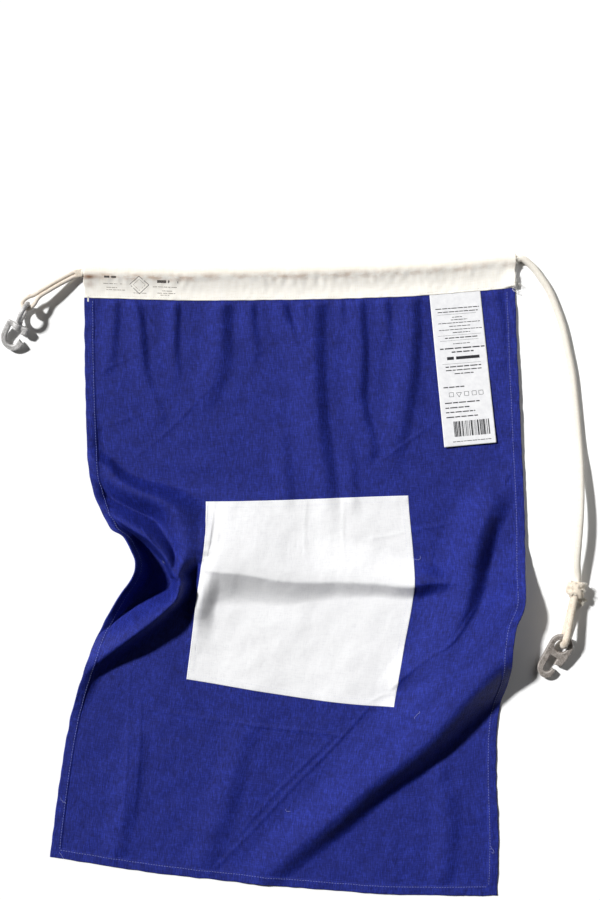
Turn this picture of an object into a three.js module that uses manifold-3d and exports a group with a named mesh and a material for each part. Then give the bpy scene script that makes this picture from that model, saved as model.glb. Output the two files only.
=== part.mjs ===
// Signal-flag waist apron: a cotton panel with a sewn square patch, a canvas heading
// that works as an open-ended sleeve, and a rope through it with a flag clip at each end.
// Units are millimetres, +Z is up. The apron lies on its back with the heading towards +Y.
import * as THREE from 'three';
import { mergeVertices } from 'three/addons/utils/BufferGeometryUtils.js';
import Module from 'manifold-3d';

const wasm = await Module();
wasm.setup();

// ---- Driving dimensions -------------------------------------------------------------
const GAP = 0.3;                  // air left between neighbouring pieces
const CLOTH = 1.0;                // thickness of the panel and of one canvas layer
const PATCH_CLOTH = 0.8;
const LABEL_CLOTH = 0.5;
const THREAD = { width: 0.9, thickness: 0.4 };
const ROPE_R = 4.75;              // 9.5 mm cotton rope
const ROPE_SIDES = 10;
const PANEL_SIZE = { width: 602, length: 835 };
const HEM = 9;                    // hem seam, in from the panel's edges
const PATCH = { s0: 0.27, s1: 0.73, t0: 0.323, t1: 0.664, seam: 8 };
const HEADING_HEIGHT = { left: 41, middle: 45.5, right: 46 };
const TUCK = 26;                  // how far the panel reaches up inside the heading
const CLIP_THICKNESS = 7.5;

// ---- Smooth curve through points at uneven knots --------------------------------------
function slopeAt(knots, values, i) {
  const a = Math.max(i - 1, 0);
  const b = Math.min(i + 1, knots.length - 1);
  return values[b].clone().sub(values[a]).divideScalar(knots[b] - knots[a]);
}

function smoothAt(knots, values, x) {
  let i = 0;
  while (i < knots.length - 2 && x > knots[i + 1]) i += 1;
  const span = knots[i + 1] - knots[i];
  const f = (x - knots[i]) / span;
  const m0 = slopeAt(knots, values, i).multiplyScalar(span);
  const m1 = slopeAt(knots, values, i + 1).multiplyScalar(span);
  return values[i].clone().multiplyScalar(2 * f ** 3 - 3 * f ** 2 + 1)
    .addScaledVector(m0, f ** 3 - 2 * f ** 2 + f)
    .addScaledVector(values[i + 1], 3 * f ** 2 - 2 * f ** 3)
    .addScaledVector(m1, f ** 3 - f ** 2);
}

// A track is a line of the cloth's length: rows of [t, x, y], t from heading to bottom hem.
function track(rows) {
  const knots = rows.map((row) => row[0]);
  const points = rows.map((row) => new THREE.Vector2(row[1], row[2]));
  return (t) => smoothAt(knots, points, t);
}

const leftEdge = track([
  [0, -272, 372], [0.124, -271, 270], [0.263, -266, 155], [0.322, -257, 109],
  [0.386, -235, 67], [0.42, -216, 52], [0.46, -202, 27], [0.48, -200, 11],
  [0.503, -207, -4], [0.548, -227, -32], [0.607, -249, -71], [0.678, -271, -122],
  [0.771, -291, -193], [0.882, -306, -282], [1, -318, -377],
]);
const patchLeft = track([
  [0, -116, 368], [0.16, -113, 235], [0.323, -109, 99], [0.395, -111, 40],
  [0.55, -124, -55], [0.664, -135, -139], [0.83, -150, -270], [1, -156, -401],
]);
const patchRight = track([
  [0, 149, 373], [0.16, 157, 240], [0.323, 162, 107], [0.48, 170, -13],
  [0.57, 157, -95], [0.664, 143, -176], [0.83, 126, -300], [1, 119, -426],
]);
const rightEdge = track([
  [0, 305, 385], [0.103, 308, 296], [0.31, 316, 120], [0.385, 318, 56],
  [0.462, 316, -8], [0.503, 314, -39], [0.552, 302.5, -67], [0.596, 297.5, -98],
  [0.647, 295, -137], [0.686, 287, -166], [0.731, 281, -202], [0.811, 280, -269],
  [0.912, 283, -354], [1, 281, -429],
]);
const trackKnots = [0, PATCH.s0, PATCH.s1, 1];
const tracks = [leftEdge, patchLeft, patchRight, rightEdge];

function planPoint(s, t) {
  return smoothAt(trackKnots, tracks.map((line) => line(Math.max(t, 0))), s);
}

// ---- Folds the cloth lies in ------------------------------------------------------------
// crest: rows of [x, y, height]. left and right: widths of its two sides along the crest.
const folds = [
  { name: 'side bulge', left: 34, right: 38, crest: [
    [-270, 158, 4], [-250, 150, 12], [-224, 124, 21], [-194, 108, 25], [-168, 98, 27], [-148, 82, 27],
    [-138, 60, 27], [-137, 40, 29], [-141, 22, 34], [-146, 4, 38], [-148, -18, 40], [-167, -40, 41],
    [-182, -53, 41], [-217, -80, 34], [-248, -105, 22], [-268, -126, 13], [-286, -170, 4]] },
  { name: 'wall above the notch', left: 26, right: 14, crest: [
    [-240, 88, 8], [-226, 76, 14], [-206, 64, 18], [-184, 50, 20], [-168, 34, 18], [-157, 18, 12]] },
  { name: 'lifted hem at the notch', left: 20, right: 20, crest: [
    [-262, 128, 5], [-256, 110, 9], [-240, 78, 18], [-222, 57, 28], [-206, 34, 38], [-200, 12, 42],
    [-207, -5, 36], [-222, -26, 24], [-238, -52, 12], [-250, -75, 4]] },
  { name: 'long diagonal', left: 44, right: 70, crest: [
    [340, -56, 46], [305, -88, 48], [250, -142, 43], [197, -202, 38], [156, -240, 33], [112, -274, 28],
    [62, -320, 22], [18, -357, 15], [-22, -393, 7], [-44, -416, 3]] },
  { name: 'beside patch', left: 30, right: 46, crest: [
    [284, 112, 3], [272, 94, 11], [256, 60, 18], [246, 20, 21], [240, -14, 22], [226, -52, 20],
    [208, -86, 17], [186, -114, 12], [160, -134, 7], [138, -152, 2]] },
  { name: 'across patch', left: 90, right: 42, crest: [
    [-121, 10, 8], [-111, 9, 17], [-98, 7, 26], [-58, 3, 24], [-7, -6, 18], [26, -8, 15], [75, -8, 13],
    [116, -10, 12], [160, -15, 13], [190, -12, 14], [212, -10, 8]] },
  { name: 'right edge lift', left: 36, right: 36, crest: [
    [308, 330, 3], [316, 60, 4], [316, -30, 5]] },
];

function heightOfFold(fold, p) {
  let nearest = Infinity;
  let height = 0;
  for (let i = 0; i < fold.crest.length - 1; i += 1) {
    const [ax, ay, ah] = fold.crest[i];
    const [bx, by, bh] = fold.crest[i + 1];
    const along = new THREE.Vector2(bx - ax, by - ay);
    const rel = new THREE.Vector2(p.x - ax, p.y - ay);
    const f = THREE.MathUtils.clamp(rel.dot(along) / along.lengthSq(), 0, 1);
    const distance = rel.distanceTo(along.clone().multiplyScalar(f));
    if (distance < nearest) {
      nearest = distance;
      const width = along.cross(rel) > 0 ? fold.left : fold.right;
      const share = Math.min(distance / width, 1);
      height = THREE.MathUtils.lerp(ah, bh, f) * Math.cos(share * Math.PI / 2) ** 2;
    }
  }
  return height;
}

const SEAM_LIFT = CLOTH + GAP;    // the panel lies on the heading's back layer there
const seamDrop = { from: 4 / PANEL_SIZE.length, to: 26 / PANEL_SIZE.length };

function clothPoint(s, t) {
  const plan = planPoint(s, t);
  const tucked = Math.max(-t, 0) * PANEL_SIZE.length;
  const folded = folds.reduce((sum, fold) => sum + heightOfFold(fold, plan), 0);
  const lift = SEAM_LIFT * (1 - THREE.MathUtils.smoothstep(t, seamDrop.from, seamDrop.to));
  return new THREE.Vector3(plan.x, plan.y + tucked, folded + lift);
}

// ---- Closed solids ------------------------------------------------------------------------
function vec(x, y, z = 0) {
  return new THREE.Vector3(x, y, z);
}

function closedGeometry(points, triangles) {
  const geometry = new THREE.BufferGeometry();
  const numbers = points.flatMap((p) => p.toArray());
  geometry.setAttribute('position', new THREE.Float32BufferAttribute(numbers, 3));
  geometry.setIndex(triangles.flat());
  return geometry;
}

// A sheet of even vertical thickness on a grid of points. Rows run towards -Y, points to +X.
function sheetFromGrid(rows, thickness) {
  const across = rows[0].length;
  const bottom = rows.flat();
  const up = vec(0, 0, thickness);
  const top = bottom.map((p) => p.clone().add(up));
  const layer = bottom.length;
  const triangles = [];
  const quad = (a, b, c, d) => triangles.push([a, b, c], [a, c, d]);
  for (let j = 0; j < rows.length - 1; j += 1) {
    for (let i = 0; i < across - 1; i += 1) {
      const a = j * across + i;
      const b = a + across;
      quad(layer + a, layer + b, layer + b + 1, layer + a + 1);
      quad(a, a + 1, b + 1, b);
    }
  }
  const last = (rows.length - 1) * across;
  const rim = [];
  for (let i = 0; i < across - 1; i += 1) rim.push(i);
  for (let j = 0; j < rows.length - 1; j += 1) rim.push(j * across + across - 1);
  for (let i = across - 1; i > 0; i -= 1) rim.push(last + i);
  for (let j = rows.length - 1; j > 0; j -= 1) rim.push(j * across);
  rim.forEach((a, k) => {
    const b = rim[(k + 1) % rim.length];
    quad(b, a, layer + a, layer + b);
  });
  return closedGeometry([...bottom, ...top], triangles);
}

// A solid through equal closed sections that follow each other towards +X.
function loft(sections) {
  const size = sections[0].length;
  const triangles = [];
  for (let j = 0; j < sections.length - 1; j += 1) {
    for (let k = 0; k < size; k += 1) {
      const a = j * size + k;
      const b = j * size + (k + 1) % size;
      triangles.push([a, b, b + size], [a, b + size, a + size]);
    }
  }
  const outline = sections[0].map((p) => new THREE.Vector2(p.y, p.z));
  const faces = THREE.ShapeUtils.triangulateShape(outline, []);
  const last = (sections.length - 1) * size;
  faces.forEach(([a, b, c]) => {
    triangles.push([c, b, a], [last + a, last + b, last + c]);
  });
  return closedGeometry(sections.flat(), triangles);
}

function spread(from, to, count) {
  return Array.from({ length: count }, (_, i) => THREE.MathUtils.lerp(from, to, i / count));
}

function clothRows(sLines, tLines, lift) {
  return tLines.map((t) => sLines.map((s) => clothPoint(s, t).add(vec(0, 0, lift))));
}

// ---- Manifold solids ------------------------------------------------------------------------
function toSolid(geometry) {
  const plain = geometry.clone();
  plain.deleteAttribute('normal');
  plain.deleteAttribute('uv');
  const welded = mergeVertices(plain, 1e-4);
  const mesh = new wasm.Mesh({
    numProp: 3,
    vertProperties: new Float32Array(welded.attributes.position.array),
    triVerts: new Uint32Array(welded.index.array),
  });
  return new wasm.Manifold(mesh);
}

function toGeometry(solid) {
  const mesh = solid.getMesh();
  const geometry = new THREE.BufferGeometry();
  geometry.setAttribute('position', new THREE.BufferAttribute(mesh.vertProperties, mesh.numProp));
  geometry.setIndex(new THREE.BufferAttribute(mesh.triVerts, 1));
  return geometry;
}

function joined(geometries) {
  return toGeometry(geometries.map(toSolid).reduce((sum, solid) => sum.add(solid)));
}

// ---- Cloth pieces ---------------------------------------------------------------------------
const seam = (length) => ({ s: length / PANEL_SIZE.width, t: length / PANEL_SIZE.length });
const hemLine = [seam(HEM), seam(HEM + THREAD.width)];
const patchLine = [seam(PATCH.seam), seam(PATCH.seam + THREAD.width)];
const tuckTop = -TUCK / PANEL_SIZE.length;

const patchS = [
  PATCH.s0, PATCH.s0 + patchLine[0].s, ...spread(PATCH.s0 + patchLine[1].s, PATCH.s1 - patchLine[1].s, 8),
  PATCH.s1 - patchLine[1].s, PATCH.s1 - patchLine[0].s, PATCH.s1,
];
const patchT = [
  PATCH.t0, PATCH.t0 + patchLine[0].t, ...spread(PATCH.t0 + patchLine[1].t, PATCH.t1 - patchLine[1].t, 9),
  PATCH.t1 - patchLine[1].t, PATCH.t1 - patchLine[0].t, PATCH.t1,
];
const sLines = [
  0, hemLine[0].s, ...spread(hemLine[1].s, PATCH.s0, 6), ...patchS,
  ...spread(PATCH.s1, 1 - hemLine[1].s, 6).slice(1), 1 - hemLine[1].s, 1 - hemLine[0].s, 1,
];
const tLines = [
  tuckTop, ...spread(seamDrop.from / 2, PATCH.t0, 9), ...patchT,
  ...spread(PATCH.t1, 1 - hemLine[1].t, 8).slice(1), 1 - hemLine[1].t, 1 - hemLine[0].t, 1,
];

function panel() {
  return sheetFromGrid(clothRows(sLines, tLines, 0), CLOTH);
}

function patch() {
  return sheetFromGrid(clothRows(patchS, patchT, CLOTH + GAP), PATCH_CLOTH);
}

// Sewing thread along two of the cloth's grid lines, lying on the cloth's upper face.
function threadStrip(sRange, tRange, lift) {
  const within = (lines, [low, high]) => lines.filter((v) => v >= low - 1e-9 && v <= high + 1e-9);
  return sheetFromGrid(clothRows(within(sLines, sRange), within(tLines, tRange), lift), THREAD.thickness);
}

function hemThread() {
  const low = tLines[1];
  const bottom = [1 - hemLine[1].t, 1 - hemLine[0].t];
  const left = [hemLine[0].s, hemLine[1].s];
  const right = [1 - hemLine[1].s, 1 - hemLine[0].s];
  return joined([
    threadStrip(left, [low, bottom[1]], CLOTH + GAP),
    threadStrip(right, [low, bottom[1]], CLOTH + GAP),
    threadStrip([left[0], right[1]], bottom, CLOTH + GAP),
  ]);
}

function patchThread() {
  const lift = CLOTH + GAP + PATCH_CLOTH + GAP;
  const left = [PATCH.s0 + patchLine[0].s, PATCH.s0 + patchLine[1].s];
  const right = [PATCH.s1 - patchLine[1].s, PATCH.s1 - patchLine[0].s];
  const top = [PATCH.t0 + patchLine[0].t, PATCH.t0 + patchLine[1].t];
  const bottom = [PATCH.t1 - patchLine[1].t, PATCH.t1 - patchLine[0].t];
  return joined([
    threadStrip(left, [top[0], bottom[1]], lift),
    threadStrip(right, [top[0], bottom[1]], lift),
    threadStrip([left[0], right[1]], top, lift),
    threadStrip([left[0], right[1]], bottom, lift),
  ]);
}

// ---- Heading: canvas folded over the rope, open at both ends and along its lower edge ---------
const sleeve = { reach: 7.8, ropeZ: CLOTH + GAP + ROPE_R, top: 12.4 };
const frontLayer = 2 * CLOTH + 2 * GAP;     // underside of the front layer, above the panel
const headingStations = [...spread(0, 1, 14), 1];
const HEADING_KNOTS = [0, 0.5, 1];
const headingHeights = Object.values(HEADING_HEIGHT).map((h) => new THREE.Vector2(h, 0));

function headingHeight(s) {
  return smoothAt(HEADING_KNOTS, headingHeights, s).x;
}

function ropeCentre(s) {
  const foot = planPoint(s, 0);
  return vec(foot.x, foot.y + headingHeight(s) - sleeve.reach, sleeve.ropeZ);
}

function headingSection(s) {
  const foot = planPoint(s, 0);
  const centre = headingHeight(s) - sleeve.reach;
  const steps = 6;
  const halfRound = (inset) => Array.from({ length: steps + 1 }, (_, k) => {
    const angle = -Math.PI / 2 + Math.PI * k / steps;
    const middle = sleeve.top / 2;
    return [centre + (sleeve.reach - inset) * Math.cos(angle), middle + (middle - inset) * Math.sin(angle)];
  });
  const outside = [
    [0, 0], ...halfRound(0), [centre - 4, 11.7], [centre - 8.4, 7.4], [centre - 13, 4.5],
    [centre - 17, frontLayer + CLOTH], [0, frontLayer + CLOTH],
  ];
  const inside = [
    [0, frontLayer], [centre - 16.7, frontLayer], [centre - 12.5, 3.5], [centre - 7.6, 6.5],
    [centre - 3.4, 10.5], ...halfRound(CLOTH).reverse(), [0, CLOTH],
  ];
  return [...outside, ...inside].map(([y, z]) => vec(foot.x, foot.y + y, z));
}

function heading() {
  return loft(headingStations.map(headingSection));
}

function headingStrip(stations, from, to, thickness) {
  const z = frontLayer + CLOTH + GAP;
  const row = (offset) => stations.map((s) => {
    const foot = planPoint(s, 0);
    return vec(foot.x, foot.y + offset, z);
  });
  return sheetFromGrid([row(to), row(from)], thickness);
}

// ---- Care label: sewn in under the heading, lying on the panel ----------------------------------
const label = {
  topLeft: vec(190, 373.6), topRight: vec(258, 378.6),
  bottomLeft: vec(210, 171.5), bottomRight: vec(279.6, 178), z: 2.8,
};

function careLabel() {
  const rows = [...spread(0, 1, 6), 1].map((down) => {
    const left = label.topLeft.clone().lerp(label.bottomLeft, down);
    const right = label.topRight.clone().lerp(label.bottomRight, down);
    return [0, 0.5, 1].map((f) => left.clone().lerp(right, f).setZ(label.z));
  });
  return sheetFromGrid(rows, LABEL_CLOTH);
}

// ---- Rope ---------------------------------------------------------------------------------------
function ropeAlong(points, steps, radius = ROPE_R, sides = ROPE_SIDES) {
  const extrudePath = new THREE.CatmullRomCurve3(points, false, 'centripetal');
  const round = new THREE.Shape(Array.from({ length: sides }, (_, k) => {
    const angle = 2 * Math.PI * k / sides;
    return new THREE.Vector2(radius * Math.cos(angle), radius * Math.sin(angle));
  }));
  return new THREE.ExtrudeGeometry(round, { extrudePath, steps });
}

// Where the rope leaves the sleeve, and the way it runs there.
const leftMouth = ropeCentre(0);
const rightMouth = ropeCentre(1);
const leftOut = leftMouth.clone().sub(ropeCentre(0.03)).normalize();
const rightOut = rightMouth.clone().sub(ropeCentre(0.97)).normalize();
const outOf = (mouth, out, distance) => mouth.clone().addScaledVector(out, distance);

// Swivel clip frame: R is the middle of its eye ring, which stands upright beside the rope's
// end. The clip's axis runs down from the ring to the hook, which touches the floor.
const swivel = {
  R: vec(-351, 351, 17.4),
  axis: vec(-0.436, -0.865, -0.246).normalize(),
  across: vec(0.893, -0.45, 0).normalize(),
  ring: 13,
  bar: 3.2,
  collar: 17.2,
};
swivel.bail = swivel.R.clone().addScaledVector(swivel.axis, -swivel.ring);

// The rope's left end is parted into two thin legs. Whipped together at the throat, they lie side
// by side up to the swivel clip and pass round its eye ring's bar.
const leg = { radius: 2.55, apart: 2.8, bend: 6.8, start: 2.5, sides: 10, whipFrom: 3, whipTo: 12 };
const throatOut = vec(-0.972, -0.2, 0.12).normalize();
const legCentres = [
  ...[1.1, 4, 8, 12.5].map((distance) => outOf(leftMouth, throatOut, distance)),
  vec(-292, 398.6, 9.4), vec(-303, 392.3, 12.8), vec(-318, 383, 16.6), vec(-331, 374.4, 18.9),
];
const toThroat = legCentres.at(-1).clone().sub(swivel.bail).normalize();
const sideways = vec(-toThroat.y, toThroat.x).normalize();

function besideLoop(along, side) {
  return swivel.bail.clone().addScaledVector(toThroat, along).addScaledVector(sideways, side);
}

// One leg from the throat to the ring. sign tells the left leg, -1, from the right one, 1.
function legStrand(sign) {
  const beside = legCentres.map((point, k) => {
    const next = legCentres[Math.min(k + 1, legCentres.length - 1)];
    const run = legCentres[Math.max(k - 1, 0)].clone().sub(next);
    return point.clone().addScaledVector(vec(-run.y, run.x).normalize(), sign * leg.apart);
  });
  const parting = [[13, 4.3], [8, 6.2], [leg.start, leg.bend]];
  return [...beside, ...parting.map(([along, side]) => besideLoop(along, sign * side))];
}

function leftTail() {
  return ropeAlong(legStrand(1), 26, leg.radius, leg.sides);
}

function leftEye() {
  const round = Array.from({ length: 7 }, (_, k) => {
    const angle = Math.PI * k / 6;
    return besideLoop(-leg.bend * Math.sin(angle), leg.bend * Math.cos(angle));
  });
  const first = besideLoop(leg.start - GAP, leg.bend);
  return ropeAlong([first, ...round, ...legStrand(-1).reverse()], 56, leg.radius, leg.sides);
}

// Whipping twine round both legs: an oval band open through its middle.
function seizing() {
  const oval = (radius, path) => {
    path.absarc(leg.apart, 0, radius, -Math.PI / 2, Math.PI / 2, false);
    path.absarc(-leg.apart, 0, radius, Math.PI / 2, 3 * Math.PI / 2, false);
    path.closePath();
    return path;
  };
  const band = oval(leg.radius + 1.3, new THREE.Shape());
  band.holes.push(oval(leg.radius + GAP, new THREE.Path()));
  const depth = leg.whipTo - leg.whipFrom;
  const geometry = new THREE.ExtrudeGeometry(band, { depth, bevelEnabled: false, curveSegments: 6 });
  const beside = vec(-throatOut.y, throatOut.x).normalize();
  const place = new THREE.Matrix4().makeBasis(beside, throatOut.clone().cross(beside), throatOut);
  return geometry.applyMatrix4(place.setPosition(outOf(leftMouth, throatOut, leg.whipFrom)));
}

const knot = { centre: vec(384, -18, 13.6), half: 11.5, radius: 13, neck: 10.4 };
knot.down = vec(-0.16, -0.987, 0).normalize();
const knotFace = (distance) => knot.centre.clone().addScaledVector(knot.down, distance);

// The right tail leaves the sleeve, bends down beside the apron and lies on the floor, then
// arches a little before it drops into the knot.
function rightTail() {
  return ropeAlong([
    outOf(rightMouth, rightOut, GAP), outOf(rightMouth, rightOut, 4), outOf(rightMouth, rightOut, 9),
    vec(327, 414, 5.2), vec(338, 400, 4.9), vec(349, 383, 4.8), vec(360, 357, 4.8),
    vec(368, 333, 4.8), vec(375, 302, 4.8), vec(381, 271, 4.8), vec(384.5, 241, 4.8), vec(387.5, 210, 4.9), vec(390, 175, 6.5),
    vec(391, 142, 13), vec(390.5, 101, 20), vec(388.5, 68, 23), vec(386.5, 41, 22),
    vec(385.5, 18, 18.5), knotFace(-knot.half - 6), knotFace(-knot.half - GAP),
  ], 28);
}

function knotBody() {
  const profile = [
    [0, -knot.half], [knot.neck, -knot.half], [knot.radius, -5], [knot.radius, 5],
    [knot.neck, knot.half], [0, knot.half],
  ].map(([r, y]) => new THREE.Vector2(r, y));
  return new THREE.LatheGeometry(profile, 14);
}

// Fixed clip frame: C is the middle of its eye, and its plane slopes down to the hook.
const fixed = {
  axis: vec(-0.438, -0.884, -0.165).normalize(),
  across: vec(0.896, -0.444, 0).normalize(),
  bail: vec(370.4, -82.1, 15.2),
  eyeOuter: 16,
  eyeInner: 9,
};
fixed.toBail = (fixed.eyeOuter + fixed.eyeInner) / 2;
fixed.C = fixed.bail.clone().addScaledVector(fixed.axis, fixed.toBail);

// Doubled rope below the knot: one strand above the other, passing through the clip's eye.
const rightLoop = { bend: 10.3, parted: 5.05 };

function ropeLoop() {
  const start = knotFace(knot.half + GAP);
  const away = fixed.bail.clone().sub(start).setZ(0).normalize();
  const at = (along, up) => fixed.bail.clone().addScaledVector(away, along).add(vec(0, 0, up));
  const round = Array.from({ length: 7 }, (_, k) => {
    const angle = Math.PI * k / 6;
    return at(rightLoop.bend * Math.sin(angle), rightLoop.bend * Math.cos(angle));
  });
  const strand = (sign) => [
    start.clone().add(vec(0, 0, sign * rightLoop.parted)),
    start.clone().lerp(at(0, 0), 0.2).add(vec(0, 0, sign * rightLoop.parted)),
    start.clone().lerp(at(0, 0), 0.6).add(vec(0, 0, sign * 8)),
  ];
  return ropeAlong([...strand(1), ...round, ...strand(-1).reverse()], 26);
}

const frayed = { start: vec(391.5, -33, 8.6), direction: vec(0.62, -0.78, -0.06).normalize(), length: 14 };

function frayedEnd() {
  const profile = [[0, 0], [4.2, 0], [7, frayed.length * 0.6], [6.4, frayed.length], [0, frayed.length]];
  return new THREE.LatheGeometry(profile.map(([r, y]) => new THREE.Vector2(r, y)), 10);
}

// ---- Clips: both are cast C hooks, open at one side, drawn with the hook's end towards +y --------
function plate(outline) {
  const bevel = 1.5;
  const geometry = new THREE.ExtrudeGeometry(outline, {
    depth: CLIP_THICKNESS - 2 * bevel, bevelThickness: bevel, bevelSize: bevel, bevelOffset: -bevel,
    bevelSegments: 2, curveSegments: 8,
  });
  return geometry.translate(0, 0, -CLIP_THICKNESS / 2 + bevel);
}

function fixedClip() {
  const outline = new THREE.Shape();
  outline.moveTo(-fixed.eyeOuter, 0);
  outline.lineTo(-16.6, 32);
  outline.bezierCurveTo(-16.6, 42, -10, 48.6, -2.5, 48.6);
  outline.bezierCurveTo(4, 48.6, 8, 44, 8.6, 37.5);
  outline.lineTo(8.4, 33.4);
  outline.lineTo(2.7, 31.8);
  outline.bezierCurveTo(2.5, 37, 0, 40, -2.6, 40);
  outline.bezierCurveTo(-5.5, 40, -7.4, 38.5, -7.4, 35);
  outline.lineTo(-7.2, 16.4);
  outline.lineTo(3, 17.4);
  outline.lineTo(2.4, 26.4);
  outline.lineTo(12.8, 25.2);
  outline.lineTo(15.2, 14);
  outline.lineTo(fixed.eyeOuter, 0);
  outline.absarc(0, 0, fixed.eyeOuter, 0, -Math.PI, true);
  const eye = new THREE.Path();
  eye.absarc(0, 0, fixed.eyeInner, 0, 2 * Math.PI, false);
  outline.holes.push(eye);
  return plate(outline);
}

const shank = { radius: 3, hole: 3.4, collar: 7, length: 6.4, head: 5.2 };

function swivelHook() {
  const outline = new THREE.Shape();
  outline.moveTo(-15.5, 2);
  outline.lineTo(-15.5, 18);
  outline.bezierCurveTo(-15.5, 30, -7, 37, 3, 37);
  outline.bezierCurveTo(11, 37, 16, 31, 17.5, 22);
  outline.lineTo(9.5, 18);
  outline.bezierCurveTo(9, 25, 7, 30, 1, 30);
  outline.bezierCurveTo(-5, 30, -8, 25, -8, 18);
  outline.lineTo(-8, 6);
  outline.lineTo(8.5, 6);
  outline.lineTo(8.5, 11.5);
  outline.lineTo(15.5, 9.5);
  outline.lineTo(15.5, 2);
  outline.lineTo(13.5, 0);
  outline.lineTo(-13.5, 0);
  const collar = new THREE.CylinderGeometry(shank.collar, shank.collar, 6, 20).translate(0, 3, 0);
  const hole = new THREE.CylinderGeometry(shank.hole, shank.hole, 12, 16).translate(0, 3, 0);
  return toGeometry(toSolid(plate(outline)).add(toSolid(collar)).subtract(toSolid(hole)));
}

function swivelEye() {
  const ring = new THREE.TorusGeometry(swivel.ring, swivel.bar, 10, 26);
  ring.rotateY(Math.PI / 2).translate(0, -swivel.collar, 0);
  const shoulder = -GAP - 0.05;
  const head = shank.length;
  const profile = [
    [0, -5], [5, -5], [5, shoulder], [shank.radius, shoulder], [shank.radius, head],
    [shank.head, head], [shank.head, head + 2], [shank.head - 1.2, head + 3], [0, head + 3],
  ];
  const pin = new THREE.LatheGeometry(profile.map(([r, y]) => new THREE.Vector2(r, y)), 18);
  return joined([ring, pin]);
}

// ---- Assembly ---------------------------------------------------------------------------------
const finish = (color, roughness, metalness = 0) => () => (
  new THREE.MeshStandardMaterial({ color, roughness, metalness }));
const blueCotton = finish(0x2b337d, 0.9);
const whiteCotton = finish(0xf4f4f6, 0.9);
const canvas = finish(0xf0ece2, 0.95);
const satin = finish(0xf6f6f6, 0.6);
const thread = finish(0x6f78b8, 0.8);
const whiteThread = finish(0xeeeeea, 0.8);
const cottonRope = finish(0xf0e8d8, 0.95);
const castMetal = finish(0x8c8782, 0.45, 1);

function piece(name, geometry, material) {
  const mesh = new THREE.Mesh(geometry, material());
  mesh.name = name;
  return mesh;
}

// Stands a piece drawn about its own axes at a point, with its +y towards a direction.
function placed(mesh, origin, along, across) {
  const normal = across.clone().cross(along);
  mesh.quaternion.setFromRotationMatrix(new THREE.Matrix4().makeBasis(across, along, normal));
  mesh.position.copy(origin);
  return mesh;
}

const apron = new THREE.Group();
apron.add(
  piece('panel', panel(), blueCotton),
  piece('patch', patch(), whiteCotton),
  piece('heading', heading(), canvas),
  piece('care_label', careLabel(), satin),
  piece('thread_hem', hemThread(), thread),
  piece('thread_patch', patchThread(), thread),
  piece('thread_heading', headingStrip(headingStations, 2, 2 + THREAD.width, THREAD.thickness), whiteThread),
  piece('bartack_left', headingStrip([0.008, 0.014], 3.5, 16, THREAD.thickness), whiteThread),
);

const rope = new THREE.Group();
const collarPoint = swivel.R.clone().addScaledVector(swivel.axis, swivel.collar);
const knotAcross = vec(0, 0, 1);
const frayedAcross = vec(0, 0, 1).cross(frayed.direction).normalize();
rope.add(
  piece('rope_sleeve_run', ropeAlong(headingStations.map(ropeCentre), 28), cottonRope),
  piece('rope_left_tail', leftTail(), cottonRope),
  piece('rope_left_eye', leftEye(), cottonRope),
  piece('left_seizing', seizing(), whiteThread),
  piece('rope_right_tail', rightTail(), cottonRope),
  piece('rope_right_loop', ropeLoop(), cottonRope),
  placed(piece('rope_knot', knotBody(), cottonRope), knot.centre, knot.down, knotAcross),
  placed(piece('rope_frayed_end', frayedEnd(), cottonRope), frayed.start, frayed.direction, frayedAcross),
);

const clips = new THREE.Group();
clips.add(
  placed(piece('swivel_eye', swivelEye(), castMetal), collarPoint, swivel.axis, swivel.across),
  placed(piece('swivel_hook', swivelHook(), castMetal), collarPoint, swivel.axis, swivel.across),
  placed(piece('fixed_clip', fixedClip(), castMetal), fixed.C, fixed.axis, fixed.across),
);

const object = new THREE.Group();
object.add(apron, rope, clips);
export default object;
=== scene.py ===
"""Signal-flag waist apron lying flat, with its rope and two flag clips: the visual model."""
import math

import bpy
import numpy as np
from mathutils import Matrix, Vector


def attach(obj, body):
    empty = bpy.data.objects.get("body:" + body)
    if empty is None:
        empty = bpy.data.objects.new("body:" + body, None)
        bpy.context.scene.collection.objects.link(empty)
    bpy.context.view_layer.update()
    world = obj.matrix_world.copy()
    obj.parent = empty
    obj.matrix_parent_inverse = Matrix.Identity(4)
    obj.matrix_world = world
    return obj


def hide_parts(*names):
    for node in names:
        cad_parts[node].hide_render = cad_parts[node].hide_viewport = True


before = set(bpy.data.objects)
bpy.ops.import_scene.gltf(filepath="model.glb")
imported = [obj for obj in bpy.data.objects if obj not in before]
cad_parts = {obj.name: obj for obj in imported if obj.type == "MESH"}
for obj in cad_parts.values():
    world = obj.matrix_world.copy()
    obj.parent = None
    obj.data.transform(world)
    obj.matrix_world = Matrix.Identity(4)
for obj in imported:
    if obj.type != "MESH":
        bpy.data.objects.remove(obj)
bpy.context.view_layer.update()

MM = 0.001                     # lengths below are in millimetres, as in the CAD source

# ---- The CAD's own measures
CLOTH = 1.0
GAP = 0.3
ROPE_R = 4.75
PANEL_WIDTH, PANEL_LENGTH = 602.0, 835.0
PATCH_S, PATCH_T = (0.27, 0.73), (0.323, 0.664)
TUCK = 26.0
SLEEVE_REACH, SLEEVE_TOP, ROPE_Z = 7.8, 12.4, 6.05


# ---- Camera: straight above the apron
def make_camera():
    data = bpy.data.cameras.new("camera")
    camera = bpy.data.objects.new("camera", data)
    bpy.context.scene.collection.objects.link(camera)
    distance, view_height, sensor = 2.5, 1.206, 36.0
    middle_x, middle_y = 0.017, 0.168
    data.sensor_width = sensor
    data.lens = sensor * distance / view_height
    camera.location = (middle_x, middle_y, distance)
    camera.rotation_euler = (0.0, 0.0, 0.0)
    bpy.context.scene.camera = camera


make_camera()


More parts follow.
